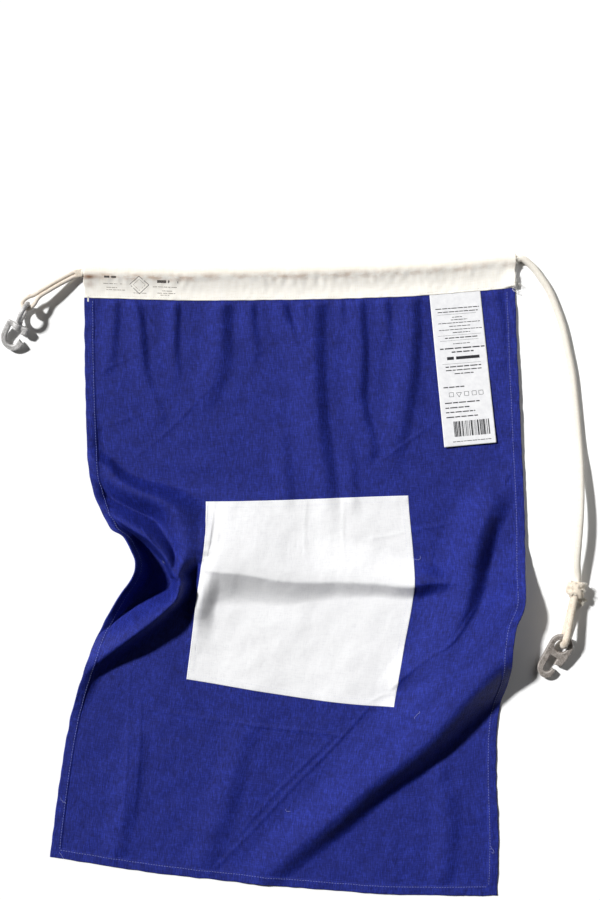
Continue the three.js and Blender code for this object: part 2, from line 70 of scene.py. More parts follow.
# ---- Curves
def unit(v):
    v = np.asarray(v, float)
    return v / np.maximum(np.linalg.norm(v, axis=-1, keepdims=True), 1e-12)


def smooth_at(knots, values, x):
    """Cubic curve through values at uneven knots. values: a row per knot, or a row per knot and x."""
    knots, values, x = np.asarray(knots, float), np.asarray(values, float), np.asarray(x, float)
    if values.ndim == 2:
        values = np.repeat(values[:, None, :], len(x), axis=1)
    last = len(knots) - 1
    after = np.minimum(np.arange(last + 1) + 1, last)
    before = np.maximum(np.arange(last + 1) - 1, 0)
    slopes = (values[after] - values[before]) / (knots[after] - knots[before])[:, None, None]
    i = np.clip(np.searchsorted(knots, x, side="right") - 1, 0, last - 1)
    rows = np.arange(len(x))
    span = (knots[i + 1] - knots[i])[:, None]
    f = (x - knots[i])[:, None] / span
    return (values[i, rows] * (2 * f**3 - 3 * f**2 + 1)
            + slopes[i, rows] * span * (f**3 - 2 * f**2 + f)
            + values[i + 1, rows] * (3 * f**2 - 2 * f**3)
            + slopes[i + 1, rows] * span * (f**3 - f**2))


def distances(points):
    """Length along a line up to each of its points."""
    return np.concatenate([[0], np.cumsum(np.linalg.norm(np.diff(points, axis=0), axis=1))])


def line_length(points):
    return float(distances(points)[-1])


def sampled(at, along, rows):
    """Rows that are known at the places along, read off at other places."""
    return np.stack([np.interp(at, along, column) for column in rows.T], axis=1)


def evenly(points, step):
    """The same line with its points an even step apart."""
    along = distances(points)
    count = max(2, int(round(along[-1] / step)) + 1)
    return sampled(np.linspace(0, along[-1], count), along, points)


def curve_through(points, step):
    """Centripetal Catmull-Rom curve through the points, as the CAD draws its ropes."""
    points = np.asarray(points, float)
    p = np.vstack([2 * points[0] - points[1], points, 2 * points[-1] - points[-2]])
    line = []
    for a, b, c, d in zip(p, p[1:], p[2:], p[3:]):
        k1 = np.linalg.norm(b - a) ** 0.5
        k2 = k1 + np.linalg.norm(c - b) ** 0.5
        k3 = k2 + np.linalg.norm(d - c) ** 0.5
        t = np.linspace(k1, k2, 30, endpoint=False)[:, None]
        a1 = (k1 - t) / k1 * a + t / k1 * b
        a2 = (k2 - t) / (k2 - k1) * b + (t - k1) / (k2 - k1) * c
        a3 = (k3 - t) / (k3 - k2) * c + (t - k2) / (k3 - k2) * d
        b1 = (k2 - t) / k2 * a1 + t / k2 * a2
        b2 = (k3 - t) / (k3 - k1) * a2 + (t - k1) / (k3 - k1) * a3
        line.append((k2 - t) / (k2 - k1) * b1 + (t - k1) / (k2 - k1) * b2)
    line.append(points[-1:])
    return evenly(np.vstack(line), step)


def smoothstep(x, low, high):
    f = np.clip((x - low) / (high - low), 0, 1)
    return f * f * (3 - 2 * f)


def waves(x, y, length, seed, count=7):
    """Soft irregular waves, about -1 to 1, of roughly that wavelength."""
    draw = np.random.default_rng(seed)
    total = np.zeros_like(x)
    for _ in range(count):
        angle, phase = draw.uniform(0, 2 * math.pi, 2)
        k = 2 * math.pi / (length * draw.uniform(0.75, 1.45))
        bend = 0.8 * np.sin((x * math.sin(angle) - y * math.cos(angle)) * k * 0.43 + phase * 2)
        total += np.sin((x * math.cos(angle) + y * math.sin(angle)) * k + phase + bend)
    return total / count * 1.6


# ---- Meshes
def new_piece(name, points, faces, body, material, flat=None, with_cad=()):
    """A piece from points in mm. flat holds each point's place on the flat cloth, for its weave."""
    mesh = bpy.data.meshes.new(name)
    face_list = faces if isinstance(faces, list) else faces.tolist()
    mesh.from_pydata((np.asarray(points) * MM).tolist(), [], face_list)
    if flat is not None:
        layer = mesh.attributes.new("flat", "FLOAT_VECTOR", "POINT")
        layer.data.foreach_set("vector", np.asarray(flat, np.float32).ravel())
    mesh.polygons.foreach_set("use_smooth", [True] * len(mesh.polygons))
    mesh.update()
    piece = bpy.data.objects.new(name, mesh)
    bpy.context.scene.collection.objects.link(piece)
    mesh.materials.append(material)
    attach(piece, body)
    if with_cad:
        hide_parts(*with_cad)
    return piece


def closed_grid(lower, upper):
    """Points and faces of a sheet between two equal grids of points, closed round its rim."""
    rows, columns = lower.shape[:2]
    index = np.arange(rows * columns).reshape(rows, columns)
    count = rows * columns

    def quads(a, flip):
        q = np.stack([a[:-1, :-1], a[:-1, 1:], a[1:, 1:], a[1:, :-1]], axis=-1).reshape(-1, 4)
        return q[:, ::-1] if flip else q

    rim = np.concatenate([index[0, :-1], index[:-1, -1], index[-1, :0:-1], index[:0:-1, 0]])
    after = np.roll(rim, -1)
    side = np.stack([rim, rim + count, after + count, after], axis=-1)
    points = np.concatenate([lower.reshape(-1, 3), upper.reshape(-1, 3)])
    faces = np.concatenate([quads(index, False), quads(index + count, True), side])
    return points, faces


def grid_normals(grid):
    """Unit normals of a grid whose rows run towards -Y and columns towards +X; they point up."""
    across = np.gradient(grid, axis=1)
    down = np.gradient(grid, axis=0)
    return unit(np.cross(down, across))


def tube_frames(path):
    tangents = unit(np.gradient(path, axis=0))
    first = np.cross(tangents[0], (0.0, 0.0, 1.0))
    normal = unit(first if np.linalg.norm(first) > 0.1 else np.cross(tangents[0], (1.0, 0.0, 0.0)))
    normals = []
    for tangent in tangents:
        normal = unit(normal - np.dot(normal, tangent) * tangent)
        normals.append(normal)
    normals = np.array(normals)
    return tangents, normals, np.cross(tangents, normals)


def tube(path, radii, around=8, relief=None, start=0.0):
    """Points, faces and flat places of a closed tube along a path. radii: one, or one per ring."""
    path = np.asarray(path, float)
    tangents, normals, sides = tube_frames(path)
    angle = np.linspace(0, 2 * math.pi, around, endpoint=False)
    along = start + distances(path)
    a, u = np.meshgrid(angle, along)
    r = np.broadcast_to(np.asarray(radii, float).reshape(-1, 1), a.shape)
    if relief is not None:
        r = r + relief(a, u)
    rings = (path[:, None, :] + normals[:, None, :] * (r * np.cos(a))[..., None]
             + sides[:, None, :] * (r * np.sin(a))[..., None])
    n = len(path)
    index = np.arange(n * around).reshape(n, around)
    nxt = np.roll(index, -1, axis=1)
    faces = np.stack([index[:-1], nxt[:-1], nxt[1:], index[1:]], axis=-1).reshape(-1, 4).tolist()
    points = np.vstack([rings.reshape(-1, 3), path[:1], path[-1:]])
    for k in range(around):
        j = (k + 1) % around
        faces.append([n * around, j, k])
        faces.append([n * around + 1, (n - 1) * around + k, (n - 1) * around + j])
    flat = np.stack([u.ravel(), (a * ROPE_R).ravel(), np.zeros(a.size)], axis=1)
    flat = np.vstack([flat, [[along[0], 0, 0]], [[along[-1], 0, 0]]])
    return points, faces, flat


def merged(parts):
    """Several (points, faces, flat) as one."""
    points, faces, flat, base = [], [], [], 0
    for p, f, q in parts:
        points.append(p)
        flat.append(q)
        faces.extend([[int(i) + base for i in face] for face in f])
        base += len(p)
    return np.vstack(points), faces, np.vstack(flat)


# ---- The rope's route, as the CAD has it
HEADING_HEIGHTS = [[41.0], [45.5], [46.0]]


def track(rows):
    rows = np.array(rows, float)
    return lambda t: smooth_at(rows[:, 0], rows[:, 1:], t)


TRACKS = [
    track([[0, -272, 372], [0.124, -271, 270], [0.263, -266, 155], [0.322, -257, 109],
           [0.386, -235, 67], [0.42, -216, 52], [0.46, -202, 27], [0.48, -200, 11],
           [0.503, -207, -4], [0.548, -227, -32], [0.607, -249, -71], [0.678, -271, -122],
           [0.771, -291, -193], [0.882, -306, -282], [1, -318, -377]]),
    track([[0, -116, 368], [0.16, -113, 235], [0.323, -109, 99], [0.395, -111, 40],
           [0.55, -124, -55], [0.664, -135, -139], [0.83, -150, -270], [1, -156, -401]]),
    track([[0, 149, 373], [0.16, 157, 240], [0.323, 162, 107], [0.48, 170, -13],
           [0.57, 157, -95], [0.664, 143, -176], [0.83, 126, -300], [1, 119, -426]]),
    track([[0, 305, 385], [0.103, 308, 296], [0.31, 316, 120], [0.385, 318, 56],
           [0.462, 316, -8], [0.503, 314, -39], [0.552, 302.5, -67], [0.596, 297.5, -98],
           [0.647, 295, -137], [0.686, 287, -166], [0.731, 281, -202], [0.811, 280, -269],
           [0.912, 283, -354], [1, 281, -429]]),
]
TRACK_S = (0.0, PATCH_S[0], PATCH_S[1], 1.0)


def plan_point(s, t):
    """Where the cloth's point (s, t) lies on the floor plan: s across, t from heading to hem."""
    s, t = np.broadcast_arrays(np.asarray(s, float), np.asarray(t, float))
    at = np.maximum(t.ravel(), 0)
    lines = np.stack([line(at) for line in TRACKS])
    return smooth_at(TRACK_S, lines, s.ravel()).reshape(s.shape + (2,))


def heading_height(s):
    s = np.asarray(s, float)
    return smooth_at((0, 0.5, 1), HEADING_HEIGHTS, s.ravel())[:, 0].reshape(s.shape)


def rope_centre(s):
    foot = plan_point(s, 0.0)
    return np.stack([foot[..., 0], foot[..., 1] + heading_height(s) - SLEEVE_REACH,
                     np.full(np.shape(s), ROPE_Z)], axis=-1)


left_mouth, right_mouth = rope_centre(np.array([0.0, 1.0]))
right_out = unit(right_mouth - rope_centre(np.array([0.97]))[0])

swivel_axis = unit((-0.436, -0.865, -0.246))
swivel_bail = np.array((-351, 351, 17.4)) - swivel_axis * 13
# The rope's left end is parted into two thin legs, whipped together at the throat.
LEG_R, LEG_APART, LEG_BEND, LEG_START = 2.55, 2.8, 6.8, 2.5
throat_out = unit((-0.972, -0.2, 0.12))
leg_centres = np.array([left_mouth + throat_out * d for d in (1.1, 4, 8, 12.5)]
                       + [(-292, 398.6, 9.4), (-303, 392.3, 12.8), (-318, 383, 16.6), (-331, 374.4, 18.9)])
to_throat = unit(leg_centres[-1] - swivel_bail)
sideways = unit((-to_throat[1], to_throat[0], 0))


def beside_loop(along, side):
    return swivel_bail + to_throat * along + sideways * side


def leg_strand(sign):
    """One leg, from the throat to the ring."""
    run = leg_centres[[0, 0, 1, 2, 3, 4, 5, 6]] - leg_centres[[1, 2, 3, 4, 5, 6, 7, 7]]
    across = unit(np.stack([-run[:, 1], run[:, 0], 0 * run[:, 0]], axis=1))
    places = ((13, 3.9), (8, 5.9), (LEG_START, LEG_BEND))
    parting = [beside_loop(along, sign * side) for along, side in places]
    return list(leg_centres + across * sign * LEG_APART) + parting


def left_route():
    """One leg to the swivel's ring, the turn round its bar, and the other leg back."""
    turn = [beside_loop(-LEG_BEND * math.sin(a), LEG_BEND * math.cos(a)) for a in np.linspace(0, math.pi, 7)]
    return leg_strand(1) + turn + leg_strand(-1)[::-1]


knot_centre = np.array((384, -18, 13.6))
knot_down = unit((-0.16, -0.987, 0))


def right_route():
    """From inside the sleeve's right mouth, down beside the apron and into the knot."""
    lying = [(327, 414, 5.2), (338, 400, 4.9), (349, 383, 4.8), (360, 357, 4.8), (368, 333, 4.8),
             (375, 302, 4.8), (381, 271, 4.8), (384.5, 241, 4.8), (387.5, 210, 4.9), (390, 175, 6.5),
             (391, 142, 13), (390.5, 101, 20), (388.5, 68, 23), (386.5, 41, 22), (385.5, 18, 18.5)]
    return ([right_mouth + right_out * d for d in (-6, 0.3, 4, 9)] + lying
            + [knot_centre - knot_down * 17.5, knot_centre - knot_down * 8])


fixed_bail = np.array((370.4, -82.1, 15.2))


def loop_route():
    """The doubled rope below the knot: one strand above the other, through the clip's eye."""
    start = knot_centre + knot_down * 8
    away = fixed_bail - start
    away[2] = 0
    away = unit(away)
    up = np.array((0, 0, 1.0))
    turn = [fixed_bail + away * 10.3 * math.sin(a) + up * 10.3 * math.cos(a)
            for a in np.linspace(0, math.pi, 7)]

    def strand(sign):
        return [start + up * sign * 5.05, start + (fixed_bail - start) * 0.25 + up * sign * 5.05,
                start + (fixed_bail - start) * 0.62 + up * sign * 8]
    return strand(1) + turn + strand(-1)[::-1]


# ---- Materials
class Finish:
    """A material and short ways to add nodes to it."""

    def __init__(self, name, roughness, **sockets):
        self.material = bpy.data.materials.new(name)
        self.material.use_nodes = True
        self.tree = self.material.node_tree
        self.surface = self.tree.nodes["Principled BSDF"]
        self.surface.inputs["Roughness"].default_value = roughness
        for socket, value in sockets.items():
            self.surface.inputs[socket.replace("_", " ")].default_value = value

    def feed(self, socket, value):
        if isinstance(value, bpy.types.NodeSocket):
            self.tree.links.new(value, socket)
        elif isinstance(value, (tuple, list)) and len(value) == 3 and socket.type == "RGBA":
            socket.default_value = (*value, 1)
        else:
            socket.default_value = value

    def node(self, kind, inputs, out=0, **properties):
        node = self.tree.nodes.new("ShaderNode" + kind)
        for key, value in properties.items():
            setattr(node, key, value)
        for key, value in inputs.items():
            self.feed(node.inputs[key], value)
        return node.outputs[out]

    def flat(self):
        return self.node("Attribute", {}, out=1, attribute_name="flat")

    def place(self):
        """The point on the object, in mm."""
        return self.scaled(self.node("TexCoord", {}, out=3), (1000, 1000, 1000))

    def axis(self, vector, k):
        return self.node("SeparateXYZ", {0: vector}, out=k)

    def math(self, operation, a, b=0.0):
        return self.node("Math", {0: a, 1: b}, operation=operation)

    def scaled(self, vector, scale):
        return self.node("Mapping", {"Vector": vector, "Scale": scale})

    def noise(self, vector, scale, detail=3.0, rough=0.55):
        return self.node("TexNoise", {"Vector": vector, "Scale": scale, "Detail": detail, "Roughness": rough})

    def span(self, value, low, high, to_low=0.0, to_high=1.0):
        return self.node("MapRange", {0: value, 1: low, 2: high, 3: to_low, 4: to_high})

    def mix(self, share, a, b):
        node = self.tree.nodes.new("ShaderNodeMix")
        node.data_type = "RGBA"
        self.feed(node.inputs[0], share)
        self.feed(node.inputs[6], a)
        self.feed(node.inputs[7], b)
        return node.outputs[2]

    def colour(self, value):
        self.feed(self.surface.inputs["Base Color"], value)

    def rough(self, value):
        self.feed(self.surface.inputs["Roughness"], value)

    def bump(self, height, distance):
        normal = self.node("Bump", {"Height": height, "Distance": distance * MM})
        self.feed(self.surface.inputs["Normal"], normal)


def srgb(r, g, b):
    """The linear colour of 8-bit sRGB values."""
    shares = (r / 255, g / 255, b / 255)
    return tuple(c / 12.92 if c <= 0.04045 else ((c + 0.055) / 1.055) ** 2.4 for c in shares)


def woven(name, dark, middle, light, pitch, slub, weave_depth, roughness=0.85, sheen=0.1, gloss=0.25,
          upright=0.5, stains_and_shade=None):
    """Plain-weave cloth: crossing threads, uneven yarn along both directions and soft mottling."""
    f = Finish(name, roughness, Sheen_Weight=sheen, Sheen_Roughness=0.5, Specular_IOR_Level=gloss)
    flat = f.flat()
    u, v = f.axis(flat, 0), f.axis(flat, 1)
    warp = f.math("SINE", f.math("MULTIPLY", u, 2 * math.pi / pitch))
    weft = f.math("SINE", f.math("MULTIPLY", v, 2 * math.pi / pitch))
    weave = f.math("MULTIPLY", warp, weft)
    along_u = f.noise(f.scaled(flat, (0.08, 0.9, 1)), slub, 3)
    along_v = f.noise(f.scaled(flat, (0.9, 0.08, 1)), slub, 3)
    yarn = f.math("ADD", f.math("MULTIPLY", along_u, 1 - upright), f.math("MULTIPLY", along_v, upright))
    mottle = f.noise(flat, 0.045, 4, 0.6)
    shade = f.math("ADD", f.math("MULTIPLY", yarn, 0.87), f.math("MULTIPLY", mottle, 0.13))
    low = f.mix(f.span(shade, 0.36, 0.5), dark, middle)
    cloth = f.mix(f.span(shade, 0.5, 0.66), low, light)
    # an extra colour layer: on the canvas, brown stains mixed with painted shade under the rope's bulge
    if stains_and_shade is not None:
        cloth = stains_and_shade(f, flat, u, v, cloth)
    f.colour(cloth)
    height = f.math("ADD", f.math("MULTIPLY", weave, 0.35), f.math("MULTIPLY", yarn, 0.9))
    f.bump(height, weave_depth)
    return f.material


def rope_finish(name, cream, shade, dirt_amount):
    f = Finish(name, 0.9, Sheen_Weight=0.3, Sheen_Roughness=0.6, Specular_IOR_Level=0.2)
    flat = f.flat()
    fibre = f.noise(f.scaled(flat, (0.25, 1.6, 1)), 1.4, 3)
    blotch = f.noise(flat, 0.09, 4, 0.62)
    tone = f.mix(f.span(fibre, 0.35, 0.65), shade, cream)
    dirt = f.math("MULTIPLY", f.span(blotch, 0.52, 0.74), dirt_amount)
    f.colour(f.mix(dirt, tone, srgb(158, 120, 84)))
    f.bump(fibre, 0.25)
    return f.material


def plain_thread(name, light, dark):
    f = Finish(name, 0.6, Sheen_Weight=0.3, Specular_IOR_Level=0.3)
    twist = f.noise(f.place(), 2.5, 2)
    f.colour(f.mix(f.span(twist, 0.4, 0.6), dark, light))
    f.bump(twist, 0.08)
    return f.material


def cast_metal(name, deep, middle, bright, edge, grain=0.35):
    """Worn cast metal: dark pitted hollows and bright rubbed edges."""
    f = Finish(name, 0.4, Metallic=0.12)
    place = f.place()
    pits = f.noise(place, 0.55, 6, 0.7)
    cloud = f.noise(place, 0.09, 3, 0.6)
    worn = f.node("NewGeometry", {}, out=7)
    rubbed = f.math("ADD", f.span(worn, 0.5, 0.62), f.math("MULTIPLY", f.span(pits, 0.5, 0.7), 0.25))
    rubbed = f.math("MINIMUM", f.math("MULTIPLY", rubbed, edge), 1.0)
    tone = f.math("ADD", f.math("MULTIPLY", pits, 0.5), f.math("MULTIPLY", cloud, 0.5))
    body = f.mix(f.span(tone, 0.36, 0.62), deep, middle)
    f.colour(f.mix(rubbed, body, bright))
    f.rough(f.span(pits, 0.35, 0.65, 0.34, 0.62))
    f.bump(f.math("ADD", pits, f.math("MULTIPLY", cloud, 0.6)), grain)
    return f.material


BLUE = woven("blue_cotton", srgb(10, 16, 78), srgb(24, 35, 119), srgb(42, 57, 164), 0.62, 1.6, 0.2,
             roughness=0.6, sheen=0.0, gloss=0.22, upright=0.64)
WHITE = woven("white_cotton", srgb(226, 226, 228), srgb(236, 236, 237), srgb(241, 241, 242), 0.62, 1.5, 0.12)
BLUE_THREAD = plain_thread("blue_thread", srgb(150, 160, 214), srgb(88, 98, 170))
WHITE_THREAD = plain_thread("white_thread", srgb(244, 242, 236), srgb(214, 210, 200))
ROPE = rope_finish("cotton_rope", srgb(240, 236, 226), srgb(224, 216, 202), 0.14)
ROPE_LEG = rope_finish("cotton_rope_leg", srgb(246, 238, 226), srgb(222, 206, 188), 0.5)
ROPE_WORN = rope_finish("cotton_rope_worn", srgb(244, 236, 222), srgb(210, 192, 168), 0.65)
WHIPPING = plain_thread("whipping_twine", srgb(246, 240, 228), srgb(204, 186, 164))
SWIVEL_METAL = cast_metal("swivel_metal", srgb(136, 134, 132), srgb(206, 204, 202), srgb(250, 250, 250), 1.0)
FIXED_METAL = cast_metal("fixed_metal", srgb(92, 84, 78), srgb(162, 154, 147), srgb(234, 229, 223), 0.9, 0.5)


def canvas_stains_and_shade(f, flat, u, v, cloth):
    """Painted shade under the rope's bulge: a brown, blotchy band along its lower flank, mixed with brown
    handling stains and strongest at the left end, where dark stains sit.
    """
    def bell(value, centre, width):
        off = f.math("MULTIPLY", f.math("SUBTRACT", value, centre), 1 / width)
        return f.math("POWER", 2.718, f.math("MULTIPLY", f.math("MULTIPLY", off, off), -1.0))

    def both(a, b):
        return f.math("MULTIPLY", a, b)
    blotch = f.noise(f.scaled(flat, (0.05, 0.09, 1)), 1.0, 4, 0.6)
    # a blotchy band along the rope bulge's lower flank: painted shade under the bulge mixed with stains,
    # fading towards the right
    along = both(f.span(blotch, 0.42, 0.62), both(bell(v, 31.5, 4.6), f.span(u, 0, 560, 1.0, 0.45)))
    # the same band, stronger near the left end: painted shade and stains
    corner = both(bell(v, 31.5, 3.4), f.span(u, 2, 56, 1, 0))
    core = f.math("ADD", both(bell(u, 8, 8), bell(v, 30.5, 3.6)),
                  both(both(bell(u, 8, 6), bell(v, 20, 5)), 0.55))
    stain_and_shade = f.math("MINIMUM", f.math("MAXIMUM", along, both(corner, 0.8)), 1.0)
    cloth = f.mix(f.span(v, 33, 40, 0, 0.4), cloth, srgb(236, 224, 202))
    # painted shade and stains, both in one brown
    shade = f.mix(both(stain_and_shade, 0.75), cloth, srgb(190, 158, 132))
    dark = f.math("MINIMUM", both(core, f.span(blotch, 0.3, 0.6, 0.5, 0.95)), 1.0)
    return f.mix(dark, shade, srgb(142, 104, 78))


CANVAS = woven("canvas", srgb(242, 237, 226), srgb(249, 245, 236), srgb(252, 250, 244), 0.95, 0.8, 0.14,
               stains_and_shade=canvas_stains_and_shade)


def satin():
    f = Finish("label_satin", 0.42, Sheen_Weight=0.1, Specular_IOR_Level=0.4)
    flat = f.flat()
    rib = f.math("SINE", f.math("MULTIPLY", f.axis(flat, 1), 2 * math.pi / 0.4))
    soft = f.noise(flat, 0.12, 3)
    f.colour(f.mix(f.span(soft, 0.35, 0.65), srgb(226, 226, 228), srgb(236, 236, 237)))
    f.bump(f.math("ADD", f.math("MULTIPLY", rib, 0.2), soft), 0.1)
    return f.material


def ink(name, tone, speck):
    f = Finish(name, 0.7, Specular_IOR_Level=0.2)
    f.colour(f.mix(f.span(f.noise(f.place(), 1.3, 2), 0.4, 0.6), tone, speck))
    return f.material


SATIN = satin()
INK = ink("label_ink", srgb(24, 24, 28), srgb(58, 58, 62))
STAMP = ink("stamp_ink", srgb(58, 54, 54), srgb(120, 114, 108))
STAMP_FAINT = ink("stamp_ink_faint", srgb(140, 134, 128), srgb(196, 190, 180))
PATCH_THREAD = plain_thread("patch_thread", srgb(224, 226, 236), srgb(190, 194, 216))
STRAY_THREAD = plain_thread("stray_thread", srgb(176, 182, 220), srgb(128, 136, 196))


# ---- Cords: the rope's two free ends
STRANDS, LAY = 8, 27.0         # strands of the braid each way round, and the length of one turn


def braid(a, u):
    """Height of the braided strands above the rope's mean surface."""
    turn = 2 * math.pi * STRANDS * u / LAY
    one, other = 0.5 + 0.5 * np.cos(STRANDS * a - turn), 0.5 + 0.5 * np.cos(STRANDS * a + turn)
    over = 0.5 + 0.5 * np.tanh(4 * np.cos(STRANDS * a) * np.cos(turn))
    return 0.62 * (over * one + (1 - over) * other) - 0.42


def fine_braid(a, u):
    """The thin legs' strands, finer than the whole rope's."""
    return 0.55 * braid(a, u * 1.7)


def rope_part(name, parts, material, with_cad):
    points, faces, flat = merged(parts)
    return new_piece(name, points, faces, "rope", material, flat, [with_cad])


def rope_piece(name, path, with_cad, around=56, finish=ROPE):
    return rope_part(name, [tube(path, ROPE_R, around, braid)], finish, with_cad)


def leg_piece(name, path, with_cad, start=0.0):
    return rope_part(name, [tube(path, LEG_R + 0.25, 36, fine_braid, start)], ROPE_LEG, with_cad)


left_line = curve_through(left_route(), 0.6)
split = int(np.argmin(np.linalg.norm(left_line - beside_loop(LEG_START, LEG_BEND), axis=1)))
left_part = left_line[:split + 1]
left_length = line_length(left_part)
left_cord = leg_piece("rope_left_cord", left_part, "rope_left_tail")
left_eye = leg_piece("rope_left_loop", left_line[split:], "rope_left_eye", left_length)
right_line = curve_through(right_route(), 0.8)
right_cord = rope_piece("rope_right_cord", right_line, "rope_right_tail")
loop_line = curve_through(loop_route(), 0.8)
right_loop = rope_piece("rope_right_doubled", loop_line, "rope_right_loop", finish=ROPE_WORN)

before_mouth = [left_mouth + throat_out * d for d in (3.4, 1.6)]
sleeve_line = evenly(np.vstack(before_mouth + [rope_centre(np.linspace(0, 1, 300))]), 1.6)
rope_piece("rope_in_sleeve", sleeve_line, "rope_sleeve_run", around=40)


def knot():
    """An overhand knot in the doubled rope: two lumpy turns round the strands that run through."""
    across = unit(np.cross(knot_down, (0, 0, 1.0)))
    up = np.cross(across, knot_down)

    def at(along, side, lift):
        return knot_centre + knot_down * along + across * side + up * lift
    parts = []
    for k, (tilt, shift, reach) in enumerate([(0.22, -5.6, 7.9), (-0.3, 2.6, 8.3)]):
        ring = []
        for angle in np.linspace(0, 2 * math.pi * 1.04, 40):
            side, lift = reach * math.cos(angle + k), (reach - 0.6) * math.sin(angle + k)
            ring.append(at(shift + tilt * side + 1.6 * angle / math.pi, side, lift))
        parts.append(tube(curve_through(ring, 0.9), ROPE_R - 0.2, 40, braid))
    crossing = [at(-8, 5, 6.4), at(-3, 1, 8.6), at(3, -4, 8.2), at(8, -7.4, 4.5)]
    parts.append(tube(curve_through(crossing, 0.9), ROPE_R - 0.7, 40, braid))
    core = [at(-11, 0, 0), at(-4, 0, 0), at(4, 0, 0), at(11, 0, 0)]
    parts.append(tube(curve_through(core, 1.0), 7.2, 40))
    return rope_part("rope_knot_body", parts, ROPE_WORN, "rope_knot")


knot_piece = knot()


def yarn_line(start, direction, length, curl, draw, points=7):
    """A loose yarn that leaves start along direction and curls as it goes."""
    p, d = np.array(start, float), unit(direction)
    line = [p]
    for _ in range(points):
        d = unit(d + draw.normal(0, curl, 3))
        p = p + d * length / points
        p[2] = max(p[2], 0.5)
        line.append(p)
    return curve_through(line, 0.7)


def frayed_end():
    """The rope's cut end beside the knot: a short stub that opens into a tuft of yarns."""
    draw = np.random.default_rng(11)
    start, direction = np.array((389.5, -29.5, 8.8)), unit((0.74, -0.66, -0.05))
    across = unit(np.cross(direction, (0, 0, 1.0)))
    up = np.cross(across, direction)
    stub = curve_through([start + direction * d for d in (-6, 0, 3, 6)], 0.8)
    radii = np.interp(np.linspace(0, 1, len(stub)), [0, 0.6, 1], [3.6, 4.3, 3.2])
    parts = [tube(stub, radii, 32, braid)]
    for _ in range(58):
        angle, reach = draw.uniform(0, 2 * math.pi), 3.6 * math.sqrt(draw.uniform(0, 1))
        out = across * math.cos(angle) + up * math.sin(angle)
        begin = start + direction * 3 + out * reach
        heading = direction + out * (0.12 + reach * 0.11)
        line = yarn_line(begin, heading, draw.uniform(5, 11), 0.2, draw, 5)
        parts.append(tube(line, np.linspace(0.42, 0.2, len(line)), 6))
    beside = unit(np.cross(knot_down, (0, 0, 1.0)))
    above = np.cross(beside, knot_down)
    for _ in range(150):                                         # fluff that stands off the knot
        angle, along = draw.uniform(-0.5, math.pi + 0.5), draw.uniform(-11, 8)
        out = beside * math.cos(angle) + above * math.sin(angle)
        begin = knot_centre + knot_down * along + out * 9.5
        heading = out * 0.9 + knot_down * draw.uniform(-0.8, 0.8)
        line = yarn_line(begin, heading, draw.uniform(3, 8), 0.45, draw, 5)
        parts.append(tube(line, np.linspace(0.36, 0.18, len(line)), 6))
    return rope_part("rope_frayed_tuft", parts, ROPE, "rope_frayed_end")


frayed_piece = frayed_end()


def seizing():
    """Whipping twine: close turns round both legs at the throat."""
    beside = unit((-throat_out[1], throat_out[0], 0))
    upright = np.cross(throat_out, beside)
    turns, radius = 11, LEG_R + 0.45
    angle = np.linspace(0, 2 * math.pi * turns, turns * 48)[:, None]
    round_leg = LEG_APART * np.sign(np.cos(angle)) * np.minimum(1, np.abs(np.cos(angle)) * 3)
    side = round_leg + radius * np.cos(angle)
    along = 3.2 + 9.0 * angle / (2 * math.pi * turns)
    line = left_mouth + throat_out * along + beside * side + upright * radius * np.sin(angle)
    twine = tube(evenly(line, 0.7), 0.46, 7)
    return rope_part("whipping_twine", [twine], WHIPPING, "left_seizing")


seizing_piece = seizing()


# ---- Folds the cloth lies in
class Ridge:
    """A fold along a crest. Rows: x, y, height, width of its left side, width of its right side,
    left and right as seen when following the crest. lean tips the crest over to its left; sharp
    gives each side's top corner from 0, round, to 1, keen."""

    def __init__(self, crest, lean=0.0, sharp=(0.0, 0.0)):
        crest = np.array(crest, float)
        knots = distances(crest[:, :2])
        count = max(3, int(knots[-1] / 7))
        self.rows = smooth_at(knots, crest, np.linspace(0, knots[-1], count))
        self.lean, self.sharp = lean, sharp

    def field(self, x, y):
        """Height, and the push across the crest, at each point."""
        nearest = np.full(x.shape, np.inf)
        height, share = np.zeros_like(x), np.ones_like(x)
        side = np.zeros_like(x)
        nx, ny = np.zeros_like(x), np.zeros_like(x)
        for a, b in zip(self.rows, self.rows[1:]):
            dx, dy = b[0] - a[0], b[1] - a[1]
            size = math.hypot(dx, dy)
            f = np.clip(((x - a[0]) * dx + (y - a[1]) * dy) / size**2, 0, 1)
            px, py = x - (a[0] + f * dx), y - (a[1] + f * dy)
            distance = np.hypot(px, py)
            closer = distance < nearest
            left = dx * py - dy * px > 0
            width = np.where(left, a[3] + f * (b[3] - a[3]), a[4] + f * (b[4] - a[4]))
            nearest = np.where(closer, distance, nearest)
            height = np.where(closer, a[2] + f * (b[2] - a[2]), height)
            share = np.where(closer, np.minimum(distance / width, 1), share)
            side = np.where(closer, left, side)
            nx, ny = np.where(closer, -dy / size, nx), np.where(closer, dx / size, ny)
        keen = np.where(side > 0.5, self.sharp[0], self.sharp[1])
        shape = (1 - keen) * np.cos(share * math.pi / 2) ** 2 + keen * (1 - share) ** 1.7
        height = np.maximum(height, 0) * shape
        push = self.lean * height * shape
        return height, push * nx, push * ny


